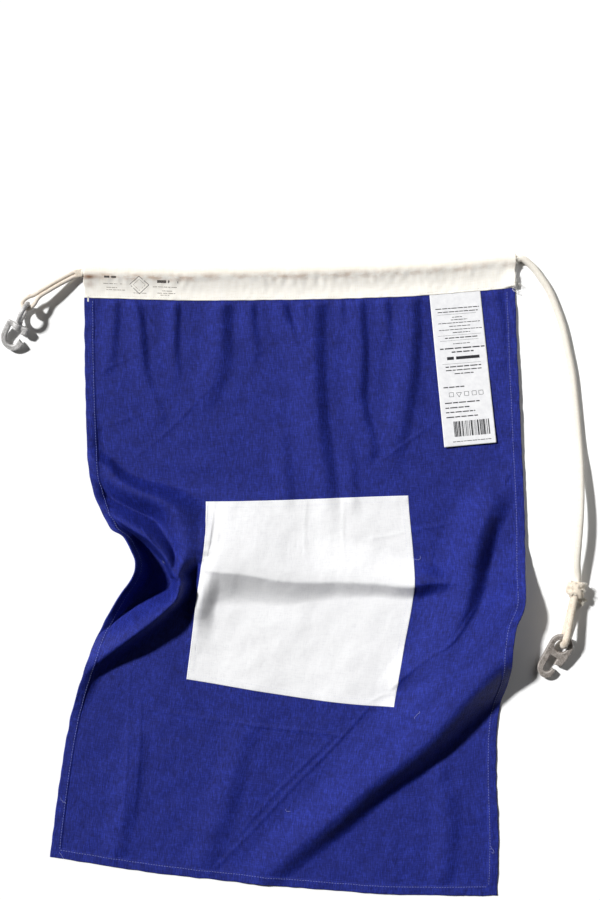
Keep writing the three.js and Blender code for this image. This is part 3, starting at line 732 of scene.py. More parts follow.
SIDE_BULGE = [
    # upper arm, crown and tip
    Ridge([(-270, 158, 4, 16, 22), (-250, 150, 13, 18, 28), (-224, 124, 22, 20, 30), (-194, 108, 26, 24, 30),
           (-168, 98, 28, 28, 32), (-148, 82, 27, 40, 42), (-138, 60, 26, 50, 46), (-135, 40, 27, 44, 36),
           (-139, 24, 30, 28, 22), (-146, 8, 33, 20, 12), (-147, -8, 33, 20, 8), (-149, -25, 28, 20, 9)],
          lean=0.1, sharp=(0.2, 0.0)),
    # keen wall above the notch
    Ridge([(-240, 88, 16, 24, 12), (-226, 76, 25, 26, 12), (-206, 64, 30, 28, 13), (-184, 50, 31, 30, 12),
           (-168, 34, 32, 26, 11), (-157, 18, 33, 20, 9), (-151, 2, 28, 16, 8)], sharp=(0.0, 0.5)),
    # hem lifted at the notch
    Ridge([(-262, 128, 6, 26, 18), (-256, 110, 11, 24, 18), (-240, 78, 24, 22, 18), (-222, 57, 37, 19, 20),
           (-206, 34, 46, 18, 20), (-200, 12, 48, 18, 20), (-207, -5, 42, 18, 20), (-222, -26, 29, 19, 20),
           (-238, -52, 15, 20, 18), (-250, -75, 5, 20, 18)], sharp=(0.45, 0.0)),
    # lower arm
    Ridge([(-147, -10, 39, 22, 7), (-151, -25, 40, 22, 12), (-167, -40, 42, 24, 22), (-182, -53, 42, 26, 28),
           (-217, -80, 36, 27, 30), (-248, -105, 24, 26, 28), (-268, -126, 14, 24, 26),
           (-286, -170, 4, 22, 22)], lean=0.15, sharp=(0.35, 0.1)),
]
LONG_DIAGONAL = [
    Ridge([(340, -56, 46, 62, 112), (305, -88, 48, 60, 108), (250, -142, 43, 48, 84), (197, -202, 38, 42, 68),
           (156, -240, 33, 40, 59), (112, -274, 28, 37, 53), (62, -320, 22, 34, 48), (18, -357, 15, 30, 44),
           (-22, -393, 7, 28, 40), (-44, -416, 3, 26, 36)], sharp=(0.0, 0.1)),
]
SOFT_FOLDS = [
    # beside the patch
    Ridge([(284, 112, 4, 30, 44), (272, 94, 13, 30, 44), (256, 60, 21, 30, 46), (246, 20, 24, 30, 48),
           (240, -14, 25, 30, 48), (226, -52, 23, 30, 50), (208, -86, 20, 30, 48), (186, -114, 14, 28, 42),
           (160, -134, 7, 24, 32), (138, -152, 2, 20, 24)]),
    # across the patch
    Ridge([(-137, 12, 0.2, 40, 40), (-121, 10, 8, 92, 44), (-111, 9, 17, 108, 48), (-98, 7, 26, 112, 48),
           (-58, 3, 24, 110, 44), (-7, -6, 18, 90, 36), (26, -8, 15, 76, 29), (75, -8, 13, 62, 24),
           (116, -10, 12, 52, 20), (160, -14, 15, 44, 19), (190, -10, 18, 36, 20), (208, -9, 12, 26, 18),
           (218, -10, 4, 18, 12)], sharp=(0.0, 0.8)),
    # the patch's left edge, held up below the tip
    Ridge([(-110, 6, 2, 24, 14), (-114, -20, 10, 26, 16), (-119, -42, 14, 24, 18), (-120, -62, 6, 24, 18),
           (-121, -84, 2, 24, 20)]),
    # lifted edges
    Ridge([(312, 350, 3, 30, 34), (316, 200, 4, 30, 34), (316, 60, 4, 30, 40), (317, -20, 5, 30, 44)]),
    Ridge([(-268, 205, 5, 20, 16), (-263, 150, 8, 20, 16), (-256, 118, 6, 20, 16), (-250, 100, 2, 18, 16)]),
    # down from the heading
    Ridge([(-88, 376, 7, 20, 26), (-90, 330, 8, 20, 28), (-92, 292, 6, 24, 30), (-104, 245, 3, 26, 30)]),
    Ridge([(39, 376, 6, 20, 34), (36, 345, 8, 20, 38), (35, 290, 9, 21, 40), (37, 235, 9, 21, 40),
           (42, 180, 8, 21, 36), (52, 125, 5, 20, 30), (58, 70, 1, 18, 26)], sharp=(0.15, 0.0)),
    Ridge([(94, 376, 5, 13, 24), (98, 300, 7, 14, 26), (97, 230, 6, 15, 26), (112, 168, 3, 15, 24)]),
    Ridge([(166, 378, 6, 16, 26), (165, 310, 8, 17, 30), (160, 250, 7, 18, 30), (148, 190, 4, 20, 30),
           (138, 150, 1, 20, 26)]),
    Ridge([(-150, 374, 4, 10, 16), (-151, 340, 5, 10, 18), (-152, 300, 4, 10, 18), (-150, 270, 1.5, 12, 18)]),
    Ridge([(-206, 370, 4, 12, 18), (-200, 345, 5.5, 12, 20), (-196, 300, 5, 12, 22), (-190, 262, 3, 12, 24),
           (-170, 215, 2, 12, 24)]),
    Ridge([(-232, 372, 3.5, 12, 18), (-234, 330, 4, 12, 20), (-240, 280, 2, 14, 20)]),
    Ridge([(-12, 376, 5, 12, 20), (-3, 345, 6, 12, 22), (8, 312, 4, 12, 22), (14, 280, 1.5, 14, 22)]),
    Ridge([(-50, 374, 4, 12, 16), (-50, 340, 4.5, 12, 18), (-44, 300, 2, 14, 20)]),
    Ridge([(18, 376, 3, 9, 12), (20, 350, 3, 9, 12), (22, 322, 1, 10, 12)]),
    Ridge([(128, 376, 4, 10, 14), (132, 345, 4, 11, 16), (134, 310, 1.5, 12, 16)]),
    Ridge([(68, 376, 3, 9, 12), (72, 350, 3, 9, 12), (74, 325, 1, 10, 12)]),
    Ridge([(278, 380, 4, 12, 16), (284, 340, 4, 14, 18), (288, 290, 1.5, 14, 20)]),
    # soft hollows and gathers above the patch
    Ridge([(-160, 128, -2.5, 24, 18), (-90, 122, -3, 24, 18), (-20, 120, -1, 24, 18)]),
    Ridge([(-10, 190, 1, 16, 22), (-6, 150, 2.5, 16, 22), (-2, 108, 2, 16, 20), (2, 70, 0.4, 16, 20)]),
    Ridge([(80, 180, 1, 14, 20), (84, 140, 2.5, 14, 20), (86, 104, 2, 14, 18), (88, 76, 0.4, 14, 18)]),
    # beside the long diagonal
    Ridge([(296, -28, 6, 22, 26), (244, -88, 7, 22, 26), (186, -150, 7, 22, 28), (126, -206, 6, 22, 28),
           (74, -254, 3, 22, 28)]),
    # lower cloth
    Ridge([(-200, -215, 2, 20, 30), (-212, -290, 4, 20, 30), (-226, -360, 3, 20, 30)]),
    Ridge([(-60, -215, 2, 26, 30), (-84, -300, 4, 26, 32), (-110, -380, 3, 26, 30)]),
    Ridge([(200, -262, 2, 24, 26), (214, -330, 4, 24, 26), (208, -400, 3, 24, 26)]),
]
# Pressed creases, thin and keen: rows of x, y, height.
CREASES = [
    [(107, -178, 0.9), (62, -228, 1.3), (10, -280, 1.2), (-40, -334, 1.0), (-97, -392, 0.8)],
    [(84, -196, 0.3), (30, -246, 0.9), (-26, -302, 0.9), (-64, -346, 0.5)],
    [(250, -42, 0.8), (219, -86, 1.6), (189, -107, 1.6), (149, -141, 1.3), (140, -150, 0.5)],
    [(-186, -178, 0.5), (-120, -190, 0.9), (-50, -200, 1.0), (40, -210, 0.9), (111, -220, 0.6)],
    [(-211, -130, 0.7), (-213, -200, 1.0), (-216, -270, 0.9), (-221, -341, 0.6)],
    [(-196, -170, 0.5), (-198, -240, 0.8), (-206, -330, 0.5)],
    [(-286, -238, 0.5), (-255, -256, 0.9), (-224, -276, 0.5)],
    [(312, 290, 0.8), (286, 289, 0.9), (258, 286, 0.4)],
    [(314, -14, 0.8), (276, -13, 1.0), (240, -14, 0.4)],
    [(-245, 276, 0.4), (-216, 290, 0.8), (-188, 302, 0.4)],
    [(-254, 198, 0.4), (-222, 208, 0.8), (-188, 219, 0.4)],
    [(-208, 154, 0.3), (-160, 194, 0.9), (-118, 236, 0.8), (-92, 262, 0.3)],
    [(120, 150, 0.4), (162, 180, 0.9), (204, 209, 0.5)],
    [(-194, 356, 0.8), (-174, 325, 1.2), (-156, 298, 0.6)],
    [(-192, 63, 1.0), (-178, 44, 2.0), (-164, 22, 1.2)],
    [(40, -250, 0.3), (100, -330, 0.5), (150, -400, 0.4)],
    [(168, 60, 0.4), (190, 64, 0.9), (224, 72, 0.4)], [(192, 44, 0.4), (194, 30, 1.0), (190, 12, 0.4)],
    [(25, 96, 0.4), (23, 60, 0.6), (24, 24, 0.4)], [(76, 98, 0.4), (74, 60, 0.6), (76, 20, 0.4)],
    [(112, 50, 0.3), (140, 54, 0.7), (158, 58, 0.4)], [(112, -168, 0.3), (128, -160, 0.8), (142, -158, 0.5)],
]
CREASE_WIDTH = 4.2
crease_ridges = [Ridge([(x, y, h, CREASE_WIDTH, CREASE_WIDTH) for x, y, h in rows], sharp=(0.6, 0.6))
                 for rows in CREASES]


def joined_height(ridges, x, y, power=4.0):
    """The upper outline of several folds, blended where they meet."""
    total, push_x, push_y = (np.zeros_like(x) for _ in range(3))
    for ridge in ridges:
        h, px, py = ridge.field(x, y)
        total += h ** power
        push_x += px * h ** power
        push_y += py * h ** power
    share = np.maximum(total, 1e-9)
    return total ** (1 / power), push_x / share, push_y / share


def edge_distance(s, t):
    """Millimetres of flat cloth to the nearest hemmed edge: left, right or bottom."""
    return np.minimum(np.minimum(s, 1 - s) * PANEL_WIDTH, (1 - t) * PANEL_LENGTH)


EDGE_REACH = 16.0              # how far in from a hemmed edge the cloth still crinkles with it


def cloth_point(s, t):
    """The panel's underside at (s, t), folds and wrinkles included."""
    s, t = np.broadcast_arrays(np.asarray(s, float), np.asarray(t, float))
    plan = plan_point(s, t)
    x, y = plan[..., 0].copy(), plan[..., 1].copy()
    z, push_x, push_y = joined_height(SIDE_BULGE, x, y)
    for ridge in LONG_DIAGONAL + SOFT_FOLDS + crease_ridges:
        h, px, py = ridge.field(x, y) if min(ridge.rows[:, 2]) >= 0 else deepened(ridge, x, y)
        z, push_x, push_y = z + h, push_x + px, push_y + py
    under_label = smoothstep(x, 172, 190) * (1 - smoothstep(x, 262, 290)) * smoothstep(y, 160, 185)
    near_edge = np.exp(-np.maximum(edge_distance(s, t), 0) / EDGE_REACH)
    calm = (1 - 0.85 * under_label) * smoothstep(t, -0.01, 0.03)
    z = z + calm * (1.1 + 1.1 * waves(x, y, 95, 3) + 0.35 * waves(x, y, 34, 5) + 0.1 * waves(x, y, 13, 8))
    z = z + near_edge * 0.35 * waves(x, y, 11, 9)
    z = 0.5 * (z + np.sqrt(z * z + 0.6))
    seam = (CLOTH + GAP) * (1 - smoothstep(t * PANEL_LENGTH, 4, 26))
    tucked = np.maximum(-t, 0) * PANEL_LENGTH
    z = np.where(t < 0, 0.0, z * smoothstep(t * PANEL_LENGTH, -1, 8)) + seam
    sway = near_edge * 0.5
    across = x + push_x + sway * waves(x, y, 26, 12)
    along = y + tucked + push_y + sway * waves(x, y, 24, 13)
    return np.stack([across, along, z], axis=-1)


def deepened(ridge, x, y):
    """A hollow: a fold with a negative height."""
    turned = Ridge([(r[0], r[1], -r[2], r[3], r[4]) for r in ridge.rows])
    h, _, _ = turned.field(x, y)
    return -h, np.zeros_like(x), np.zeros_like(x)


def cloth_frame(s, t):
    """Points of the panel's underside with their unit normals, at any (s, t)."""
    step = 0.0012
    point = cloth_point(s, t)
    across = cloth_point(s + step, t) - cloth_point(s - step, t)
    down = cloth_point(s, t + step) - cloth_point(s, t - step)
    return point, unit(np.cross(down, across))


HEM, FABRIC = 13.4, 0.75       # hem width, and the thickness of one layer as it is drawn
HEM_SEAM = 11.8                # the hem's stitches, in from the edge
CLOTH_GRID = 2.1               # step of the panel's grid between the hems
HEM_LINES = np.array([0, 0.3, 0.9, 1.8, 3.4, 5.4, 7.6, 9.6, 10.8, 11.4, 11.8, 12.3, 12.9, 13.4, 13.9, 15.6])
PATCH_LIFT = FABRIC + 0.12     # the patch's underside, above the panel's


def panel_thickness(s, t):
    """One layer, and the turned hem with its soft edge and the groove its stitches pull in."""
    d = edge_distance(s, t)
    extra = 0.85 * (1 - smoothstep(d, HEM - 0.4, HEM + 0.5))
    groove = 0.3 * np.exp(-((d - HEM_SEAM) / 0.55) ** 2)
    rim = np.sqrt(np.clip(d / 0.9, 0.04, 1))
    return (FABRIC + extra - groove) * rim


def grid_lines(close, length, step, low=None):
    """Grid lines over a length in mm: close ones at its far end and, unless low is given, its near end."""
    far = length - close[::-1]
    low = close if low is None else low
    middle = np.linspace(low[-1], far[0], int(round((far[0] - low[-1]) / step)) + 1)[1:-1]
    return np.concatenate([low, middle, far])


def flat_of(s, t, layer):
    return np.stack([s * PANEL_WIDTH, t * PANEL_LENGTH, np.full(s.shape, layer)], axis=-1).reshape(-1, 3)


def sheet_piece(name, s, t, thickness, lift, material, with_cad):
    """A closed sheet on the panel's grid: its lower face lift above the panel's underside."""
    grid = cloth_point(s, t)
    normals = grid_normals(grid)
    points, faces = closed_grid(grid + normals * lift, grid + normals * (lift + thickness)[..., None])
    flat = np.concatenate([flat_of(s, t, 0.0), flat_of(s, t, 1.0)])
    return new_piece(name, points, faces, "apron", material, flat, with_cad)


def make_panel():
    s_lines = grid_lines(HEM_LINES, PANEL_WIDTH, CLOTH_GRID) / PANEL_WIDTH
    t_lines = grid_lines(HEM_LINES, PANEL_LENGTH, CLOTH_GRID, low=np.array([-TUCK])) / PANEL_LENGTH
    s, t = np.meshgrid(s_lines, t_lines)
    piece = sheet_piece("apron_panel", s, t, panel_thickness(s, t), 0.0, BLUE, ["panel"])


PATCH_BAND = 10.0              # turned-under edge of the patch
PATCH_SEAMS = (1.9, 8.3)       # its two rows of stitches, in from its edge
PATCH_GRID = 2.0
PATCH_LINES = np.array([0, 0.3, 0.8, 1.4, 1.9, 2.4, 3.4, 5, 6.6, 7.8, 8.3, 8.8, 9.5, 10.3, 11.4])


def patch_thickness(s, t):
    """The patch with its edges turned under, and its two rows of stitches pulling it in."""
    d = np.minimum(np.minimum(s - PATCH_S[0], PATCH_S[1] - s) * PANEL_WIDTH,
                   np.minimum(t - PATCH_T[0], PATCH_T[1] - t) * PANEL_LENGTH)
    extra = 0.16 * (1 - smoothstep(d, PATCH_BAND - 1.5, PATCH_BAND + 1.5))
    groove = sum(0.1 * np.exp(-((d - seam) / 0.6) ** 2) for seam in PATCH_SEAMS)
    rim = np.sqrt(np.clip(d / 0.8, 0.04, 1))
    return (0.55 + extra - groove) * rim


def make_patch():
    s_share, t_share = PATCH_S[1] - PATCH_S[0], PATCH_T[1] - PATCH_T[0]
    width, length = s_share * PANEL_WIDTH, t_share * PANEL_LENGTH
    s_lines = PATCH_S[0] + grid_lines(PATCH_LINES, width, PATCH_GRID) / width * s_share
    t_lines = PATCH_T[0] + grid_lines(PATCH_LINES, length, PATCH_GRID) / length * t_share
    s, t = np.meshgrid(s_lines, t_lines)
    thickness = patch_thickness(s, t)
    piece = sheet_piece("white_patch", s, t, thickness, PATCH_LIFT, WHITE, ["patch"])


# ---- Heading: canvas folded over the rope
CANVAS_CLOTH = 0.9
HEADING_WIDTH = 577.0
HEADING_SEAM = 3.4             # its stitches, up from its lower edge


def heading_section(height):
    """The canvas's middle line in one section, as y and z, from the lower front edge to the back."""
    c = height - SLEEVE_REACH
    reach, half = SLEEVE_REACH - 0.5, SLEEVE_TOP / 2 - 0.5
    round_rope = [(c + reach * math.cos(a), SLEEVE_TOP / 2 + half * math.sin(a))
                  for a in np.linspace(math.pi / 2, -math.pi / 2, 13)]
    front = [(0, 3.05), (c - 30, 3.1), (c - 22, 4.2), (c - 12, 7.4), (c - 4, 11.1)]
    back = [(c - 6, 0.55), (c * 0.5, 0.55), (0, 0.55)]
    return curve_through([(y, z) for y, z in front + round_rope + back], 0.5)


SECTION_LENGTH = line_length(heading_section(44.0))
LOW, HIGH, ROWS = 41.0, 47.0, 253          # sections kept at two heights, each with this many points
section_at = np.linspace(0, 1, ROWS)


def section_table(height):
    line = heading_section(height)
    return sampled(section_at, np.linspace(0, 1, len(line)), line)


low_section, high_section = section_table(LOW), section_table(HIGH)


def heading_point(s, q):
    """The canvas's middle surface: s along the heading, q in mm round its section."""
    s, q = np.broadcast_arrays(np.asarray(s, float), np.asarray(q, float))
    share = (heading_height(s) - LOW) / (HIGH - LOW)
    at = np.clip(q / SECTION_LENGTH, 0, 1)
    y, z = (np.interp(at, section_at, low_section[:, k]) * (1 - share)
            + np.interp(at, section_at, high_section[:, k]) * share for k in (0, 1))
    foot = plan_point(s, 0.0)
    u = s * HEADING_WIDTH
    front = smoothstep(q, 0, 3) * (1 - smoothstep(q, 58, 74))
    gather = np.exp(-((q - 26) / 7) ** 2)
    z = z + front * (0.35 * waves(u, q, 42, 21) + 0.16 * waves(u, q * 0.6, 12, 22))
    z = z + gather * 0.5 * waves(u, q * 0.35, 13, 23)
    z = z + 0.22 * np.exp(-((q - 1.0) / 3) ** 2) * waves(u, q, 9, 24)
    end_lift = smoothstep(s, 0.965, 1.0)
    z = z + front * end_lift * 6.0 * np.exp(-((q - 6) / 16) ** 2)
    y = y + 0.5 * np.sin(at * math.pi) * waves(u, 0 * u, 48, 25)
    y = y + 0.3 * np.exp(-(q / 3) ** 2) * waves(u, 0 * u, 30, 26)
    near_end = np.exp(-u / 4) + np.exp(-(HEADING_WIDTH - u) / 4)
    end_sway = near_end * 0.7 * waves(q, 0 * q, 17, 27)
    return np.stack([foot[..., 0] + end_sway, foot[..., 1] + y, z], axis=-1)


def heading_thickness(q):
    edge = np.minimum(q, SECTION_LENGTH - q)
    groove = 0.25 * np.exp(-((q - HEADING_SEAM) / 0.6) ** 2)
    return (CANVAS_CLOTH - groove) * np.sqrt(np.clip(edge / 0.8, 0.05, 1))


def make_heading():
    q_lines = np.concatenate([[0, 0.4, 1.0, 2.0, 2.8, 3.4, 4.0, 5.0], np.arange(6.5, 70, 1.3),
                              np.arange(72, SECTION_LENGTH - 2, 3.0), [SECTION_LENGTH - 1, SECTION_LENGTH]])
    s_lines = np.linspace(0, 1, 360)
    s, q = np.meshgrid(s_lines, q_lines)
    grid = heading_point(s, q)
    normals = -grid_normals(grid)
    half = heading_thickness(q)[..., None] / 2
    points, faces = closed_grid(grid + normals * half, grid - normals * half)
    one = np.stack([s * HEADING_WIDTH, q, np.zeros_like(q)], axis=-1).reshape(-1, 3)
    piece = new_piece("canvas_heading", points, faces, "apron", CANVAS, np.concatenate([one, one]),
                      ["heading"])


# ---- Care label
LABEL_WIDE, LABEL_LONG = 68.0, 207.0
LABEL_THICK = 0.28
LABEL_Z, LABEL_RISE, LABEL_CURL = 2.75, 1.7, 0.9     # its height at the top, and what its free end adds
LABEL_CORNERS = np.array([[(190, 378.6), (258, 383.6)], [(210, 171.5), (279.6, 178)]], float)


def label_point(u, v):
    """The label's upper face, u across and v down from its top, both in mm."""
    u, v = np.broadcast_arrays(np.asarray(u, float), np.asarray(v, float))
    fu, fv = (u / LABEL_WIDE)[..., None], (v / LABEL_LONG)[..., None]
    top = LABEL_CORNERS[0, 0] * (1 - fu) + LABEL_CORNERS[0, 1] * fu
    bottom = LABEL_CORNERS[1, 0] * (1 - fu) + LABEL_CORNERS[1, 1] * fu
    plan = top * (1 - fv) + bottom * fv
    free = smoothstep(v, 20, LABEL_LONG)
    z = LABEL_Z + LABEL_RISE * free ** 2 + 0.25 * free * waves(u, v, 70, 31)
    off_middle = (u - LABEL_WIDE / 2) / (LABEL_WIDE / 2)
    z = z + LABEL_CURL * free * off_middle ** 2 * smoothstep(v, 120, LABEL_LONG)
    return np.concatenate([plan, z[..., None]], axis=-1)


def make_label():
    u, v = np.meshgrid(np.linspace(0, LABEL_WIDE, 50), np.linspace(0, LABEL_LONG, 150))
    grid = label_point(u, v)
    normals = grid_normals(grid)
    edge = np.minimum(np.minimum(u, LABEL_WIDE - u), LABEL_LONG - v)
    thick = LABEL_THICK * np.sqrt(np.clip((edge + 0.1) / 0.6, 0.1, 1))[..., None]
    points, faces = closed_grid(grid - normals * thick, grid)
    flat = np.stack([u, v, np.zeros_like(u)], axis=-1).reshape(-1, 3)
    piece = new_piece("care_label_tape", points, faces, "apron", SATIN,
                      np.concatenate([flat, flat]), ["care_label"])


# ---- Printed marks: plain bars and lines that stand for print, with no lettering
MARK_LIFT, MARK_THICK = 0.04, 0.07


def mark_box(place, outline):
    """A thin closed tile on a surface; outline is its four corners in the surface's own mm."""
    outline = np.array(outline, float)
    base = place(outline[:, 0], outline[:, 1])
    normal = unit(np.cross(base[1] - base[0], base[3] - base[0]))
    normal = normal * np.sign(normal[2])
    return np.vstack([base + normal * MARK_LIFT, base + normal * (MARK_LIFT + MARK_THICK)])


def mark_piece(name, place, outlines, material):
    points = np.vstack([mark_box(place, o) for o in outlines])
    box = np.array([(0, 1, 2, 3), (7, 6, 5, 4), (0, 4, 5, 1), (1, 5, 6, 2), (2, 6, 7, 3), (3, 7, 4, 0)])
    faces = np.concatenate([box + 8 * k for k in range(len(outlines))])
    piece = new_piece(name, points, faces, "apron", material)
    piece.data.polygons.foreach_set("use_smooth", [False] * len(piece.data.polygons))


def tile(u0, v0, u1, v1):
    return [(u0, v0), (u1, v0), (u1, v1), (u0, v1)]


def stroke(p, q, wide):
    """A straight line from p to q."""
    across = unit((q - p)[::-1] * (1, -1)) * wide / 2
    return [p - across, q - across, q + across, p + across]


def polygon(centre, reach, corners, first=0.0, up=1):
    """The corners of a regular outline, closed; first turns it by shares of a side."""
    turns = [2 * math.pi * (k + first) / corners for k in range(corners + 1)]
    return [np.array((centre[0] + reach * math.sin(w), centre[1] + up * reach * math.cos(w))) for w in turns]


def bars(draw, v, u0, u1, height):
    """A line of print shown as plain bars, one for each word."""
    made, u = [], u0
    while u < u1 - 1.0:
        end = min(u + height * draw.uniform(3.0, 9.0) * 0.7, u1)
        made.append(tile(u, v - height * 0.42, end, v + height * 0.42))
        u = end + height * 0.75
    return made


LABEL_LINES = [  # v, from u, to u, height
    (23, 6, 64, 1.3), (27.6, 8.5, 62, 1.3), (35, 27, 41, 1.1), (38.5, 25, 47, 1.1), (42.5, 8, 64, 1.1),
    (47, 22, 51, 1.1), (51.5, 8, 65, 1.0), (55.6, 26, 49, 1.1), (62.5, 15, 58, 1.5), (70.5, 25, 47, 1.0),
    (76.5, 7, 66, 1.9), (81.5, 22, 51, 1.9), (101, 12, 59, 1.7), (105.6, 12, 59, 1.5), (110.5, 23, 48, 1.4),
    (128, 6.5, 34, 1.7), (149, 6.5, 52, 1.7), (155.5, 6.5, 38, 1.7), (161.5, 6.5, 45, 1.7),
    (168, 6.5, 48, 1.7), (201, 12, 62, 1.0),
]
LABEL_RULES = [(31, 8, 62), (59, 6, 64), (66, 8, 62), (97, 8, 62)]      # v, from u, to u
CARE_SYMBOLS = [(16, 4), (26, 3), (36, 4), (46, 4), (55, 4)]            # u, corners of a plain outline
CARE_V, CARE_REACH, CARE_LINE = 138, 3.9, 0.5
BAR_FROM, BAR_TO, BAR_ROWS = 15.0, 61, (174, 184, 194.5)
BAR_WIDTHS, BAR_GAPS = [0.45, 0.9, 1.4, 1.9], [0.5, 0.8, 1.3]


def label_print():
    draw = np.random.default_rng(41)
    tiles = []
    for v, u0, u1, height in LABEL_LINES:
        tiles += bars(draw, v, u0, u1, height)
    for v, u0, u1 in LABEL_RULES:
        tiles += [tile(u, v - 0.14, u + 3, v + 0.14) for u in np.arange(u0, u1 - 3, 3)]
    tiles += [tile(15, 87.6, 24, 91.6), tile(27, 87.6, 58, 91.6)]
    for u, corners in CARE_SYMBOLS:
        places = polygon((u, CARE_V), CARE_REACH, corners, 0.5, -1)
        tiles += [stroke(p, q, CARE_LINE) for p, q in zip(places, places[1:])]
    u = BAR_FROM
    while u < BAR_TO:
        wide = draw.choice(BAR_WIDTHS)
        tiles += [tile(u, v0, u + wide, v1) for v0, v1 in zip(BAR_ROWS, BAR_ROWS[1:])]
        u += wide + draw.choice(BAR_GAPS)
    mark_piece("label_print", label_point, tiles, INK)


def heading_face(u, q):
    """The heading's outer face at u mm along it and q mm up from its lower edge."""
    grid = heading_point(np.asarray(u, float) / HEADING_WIDTH, q)
    return grid + np.array((0, 0, CANVAS_CLOTH / 2))


STAMP_BLOCKS = [(27.5, 29.6, 34.5, 32.6), (37, 29.8, 43.5, 32.6), (98, 23.4, 110, 27.4),
                (112.5, 23.4, 126, 27.4)]
STAMP_LINES = [  # q, from u, to u, height
    (21.0, 26, 52, 1.2), (15.6, 30, 44, 1.2), (12.2, 30, 56, 1.2), (8.8, 66, 84, 1.2),
    (17.8, 92, 124, 1.3), (12.4, 104, 118, 1.3), (9.2, 98, 122, 1.3), (6.6, 102, 114, 1.3),
]
STAMP_MIDDLE = (74.0, 20.6)    # of the diamond
STAMP_STEP, STAMP_WORN = 0.125, 0.12     # each piece's share of a side, and the share of pieces lost


def heading_stamps():
    """Faded ink stamps near the left end: bars, a diamond and thin lines, all without lettering."""
    draw = np.random.default_rng(47)
    tiles, faint = [tile(*corners) for corners in STAMP_BLOCKS], []
    for reach, thick, where in ((12.8, 0.8, tiles), (8.0, 0.5, faint)):
        places = polygon(STAMP_MIDDLE, reach, 4)
        for p, q in zip(places, places[1:]):
            for f in np.arange(0, 1, STAMP_STEP):
                if draw.uniform() >= STAMP_WORN:
                    where.append(stroke(p + (q - p) * f, p + (q - p) * (f + STAMP_STEP), thick))
    for q, u0, u1, height in STAMP_LINES:
        faint += bars(draw, q, u0, u1, height)
    mark_piece("stamp_marks", heading_face, tiles, STAMP)
    mark_piece("stamp_faint_lines", heading_face, faint, STAMP_FAINT)


# ---- Stitches
def stitch_row(points, normals, pitch, share, radius, sink=0.25):
    """Short rounded stitches along a line of points, each bedded in the cloth at its two ends."""
    along = distances(points)
    starts = np.arange(pitch * 0.3, along[-1] - pitch, pitch)
    f = np.array([0.0, 0.12, 0.35, 0.65, 0.88, 1.0])
    lift = np.array([-sink, 0.02, 0.16, 0.16, 0.02, -sink])
    fat = np.array([0.45, 0.85, 1.0, 1.0, 0.85, 0.45]) * radius
    parts = []
    for start in starts:
        at = start + f * pitch * share
        up = unit(sampled(at, along, normals))
        parts.append(tube(sampled(at, along, points) + up * lift[:, None], fat, 6))
    return parts


def thread_piece(name, parts, material, with_cad=()):
    points, faces, _ = merged(parts)
    new_piece(name, points, faces, "apron", material, with_cad=with_cad)


def seam_line(s, t, over):
    """Points on the panel along a seam, over mm above its underside, with their normals."""
    point, normal = cloth_frame(s, t)
    return point + normal * np.asarray(over)[..., None], normal


def make_stitches():
    s_in, t_in = HEM_SEAM / PANEL_WIDTH, HEM_SEAM / PANEL_LENGTH
    down = np.linspace(0.004, 1 - t_in, 420)
    across = np.linspace(s_in, 1 - s_in, 300)
    rows = [(np.full_like(down, s_in), down), (np.full_like(down, 1 - s_in), down),
            (across, np.full_like(across, 1 - t_in))]
    parts = []
    for s, t in rows:
        points, normals = seam_line(s, t, panel_thickness(s, t))
        parts += stitch_row(points, normals, pitch=3.6, share=0.7, radius=0.26)
    thread_piece("hem_stitches", parts, BLUE_THREAD, ["thread_hem"])

    parts = []
    for inset in PATCH_SEAMS:
        s0, s1 = PATCH_S[0] + inset / PANEL_WIDTH, PATCH_S[1] - inset / PANEL_WIDTH
        t0, t1 = PATCH_T[0] + inset / PANEL_LENGTH, PATCH_T[1] - inset / PANEL_LENGTH
        for a, b, c, d in ((s0, t0, s1, t0), (s1, t0, s1, t1), (s1, t1, s0, t1), (s0, t1, s0, t0)):
            s, t = np.linspace(a, c, 160), np.linspace(b, d, 160)
            points, normals = seam_line(s, t, PATCH_LIFT + patch_thickness(s, t))
            parts += stitch_row(points, normals, pitch=3.4, share=0.6, radius=0.15)
    thread_piece("patch_stitches", parts, PATCH_THREAD, ["thread_patch"])

    s = np.linspace(0.004, 0.996, 500)
    points = heading_face(s * HEADING_WIDTH, np.full_like(s, HEADING_SEAM)) - (0, 0, 0.12)
    upward = np.tile((0, 0, 1.0), (len(s), 1))
    parts = stitch_row(points, upward, pitch=3.4, share=0.72, radius=0.24)
    thread_piece("heading_stitches", parts, WHITE_THREAD, ["thread_heading"])

    parts = []
    for k in range(5):
        q = np.linspace(-5.2 - 0.4 * (k % 2), 1.8 + 0.4 * (k % 2), 12)
        u = 4.6 + 0.42 * k + 0.1 * math.sin(3 * k)
        foot = plan_point(np.array([u / HEADING_WIDTH]), 0.0)[0]
        z = 3.1 + 0.75 * smoothstep(q, -1.2, 0.8)
        parts += [tube(np.stack([foot[0] + 0 * q, foot[1] + q, z], axis=1), 0.3, 6)]
    thread_piece("end_bar_tack", parts, WHITE_THREAD, ["bartack_left"])


STRAY_ENDS = [  # s, t, direction, length
    (0.745, 0.43, 0.6, 18), (0.79, 0.67, 2.4, 13), (0.14, 0.44, 1.0, 12), (0.52, 0.86, 0.2, 9),
    (0.985, 0.93, 1.5, 14), (0.008, 0.9, 1.8, 12), (0.02, 0.99, 0.3, 12),
]
STRAY_BENDS = 8


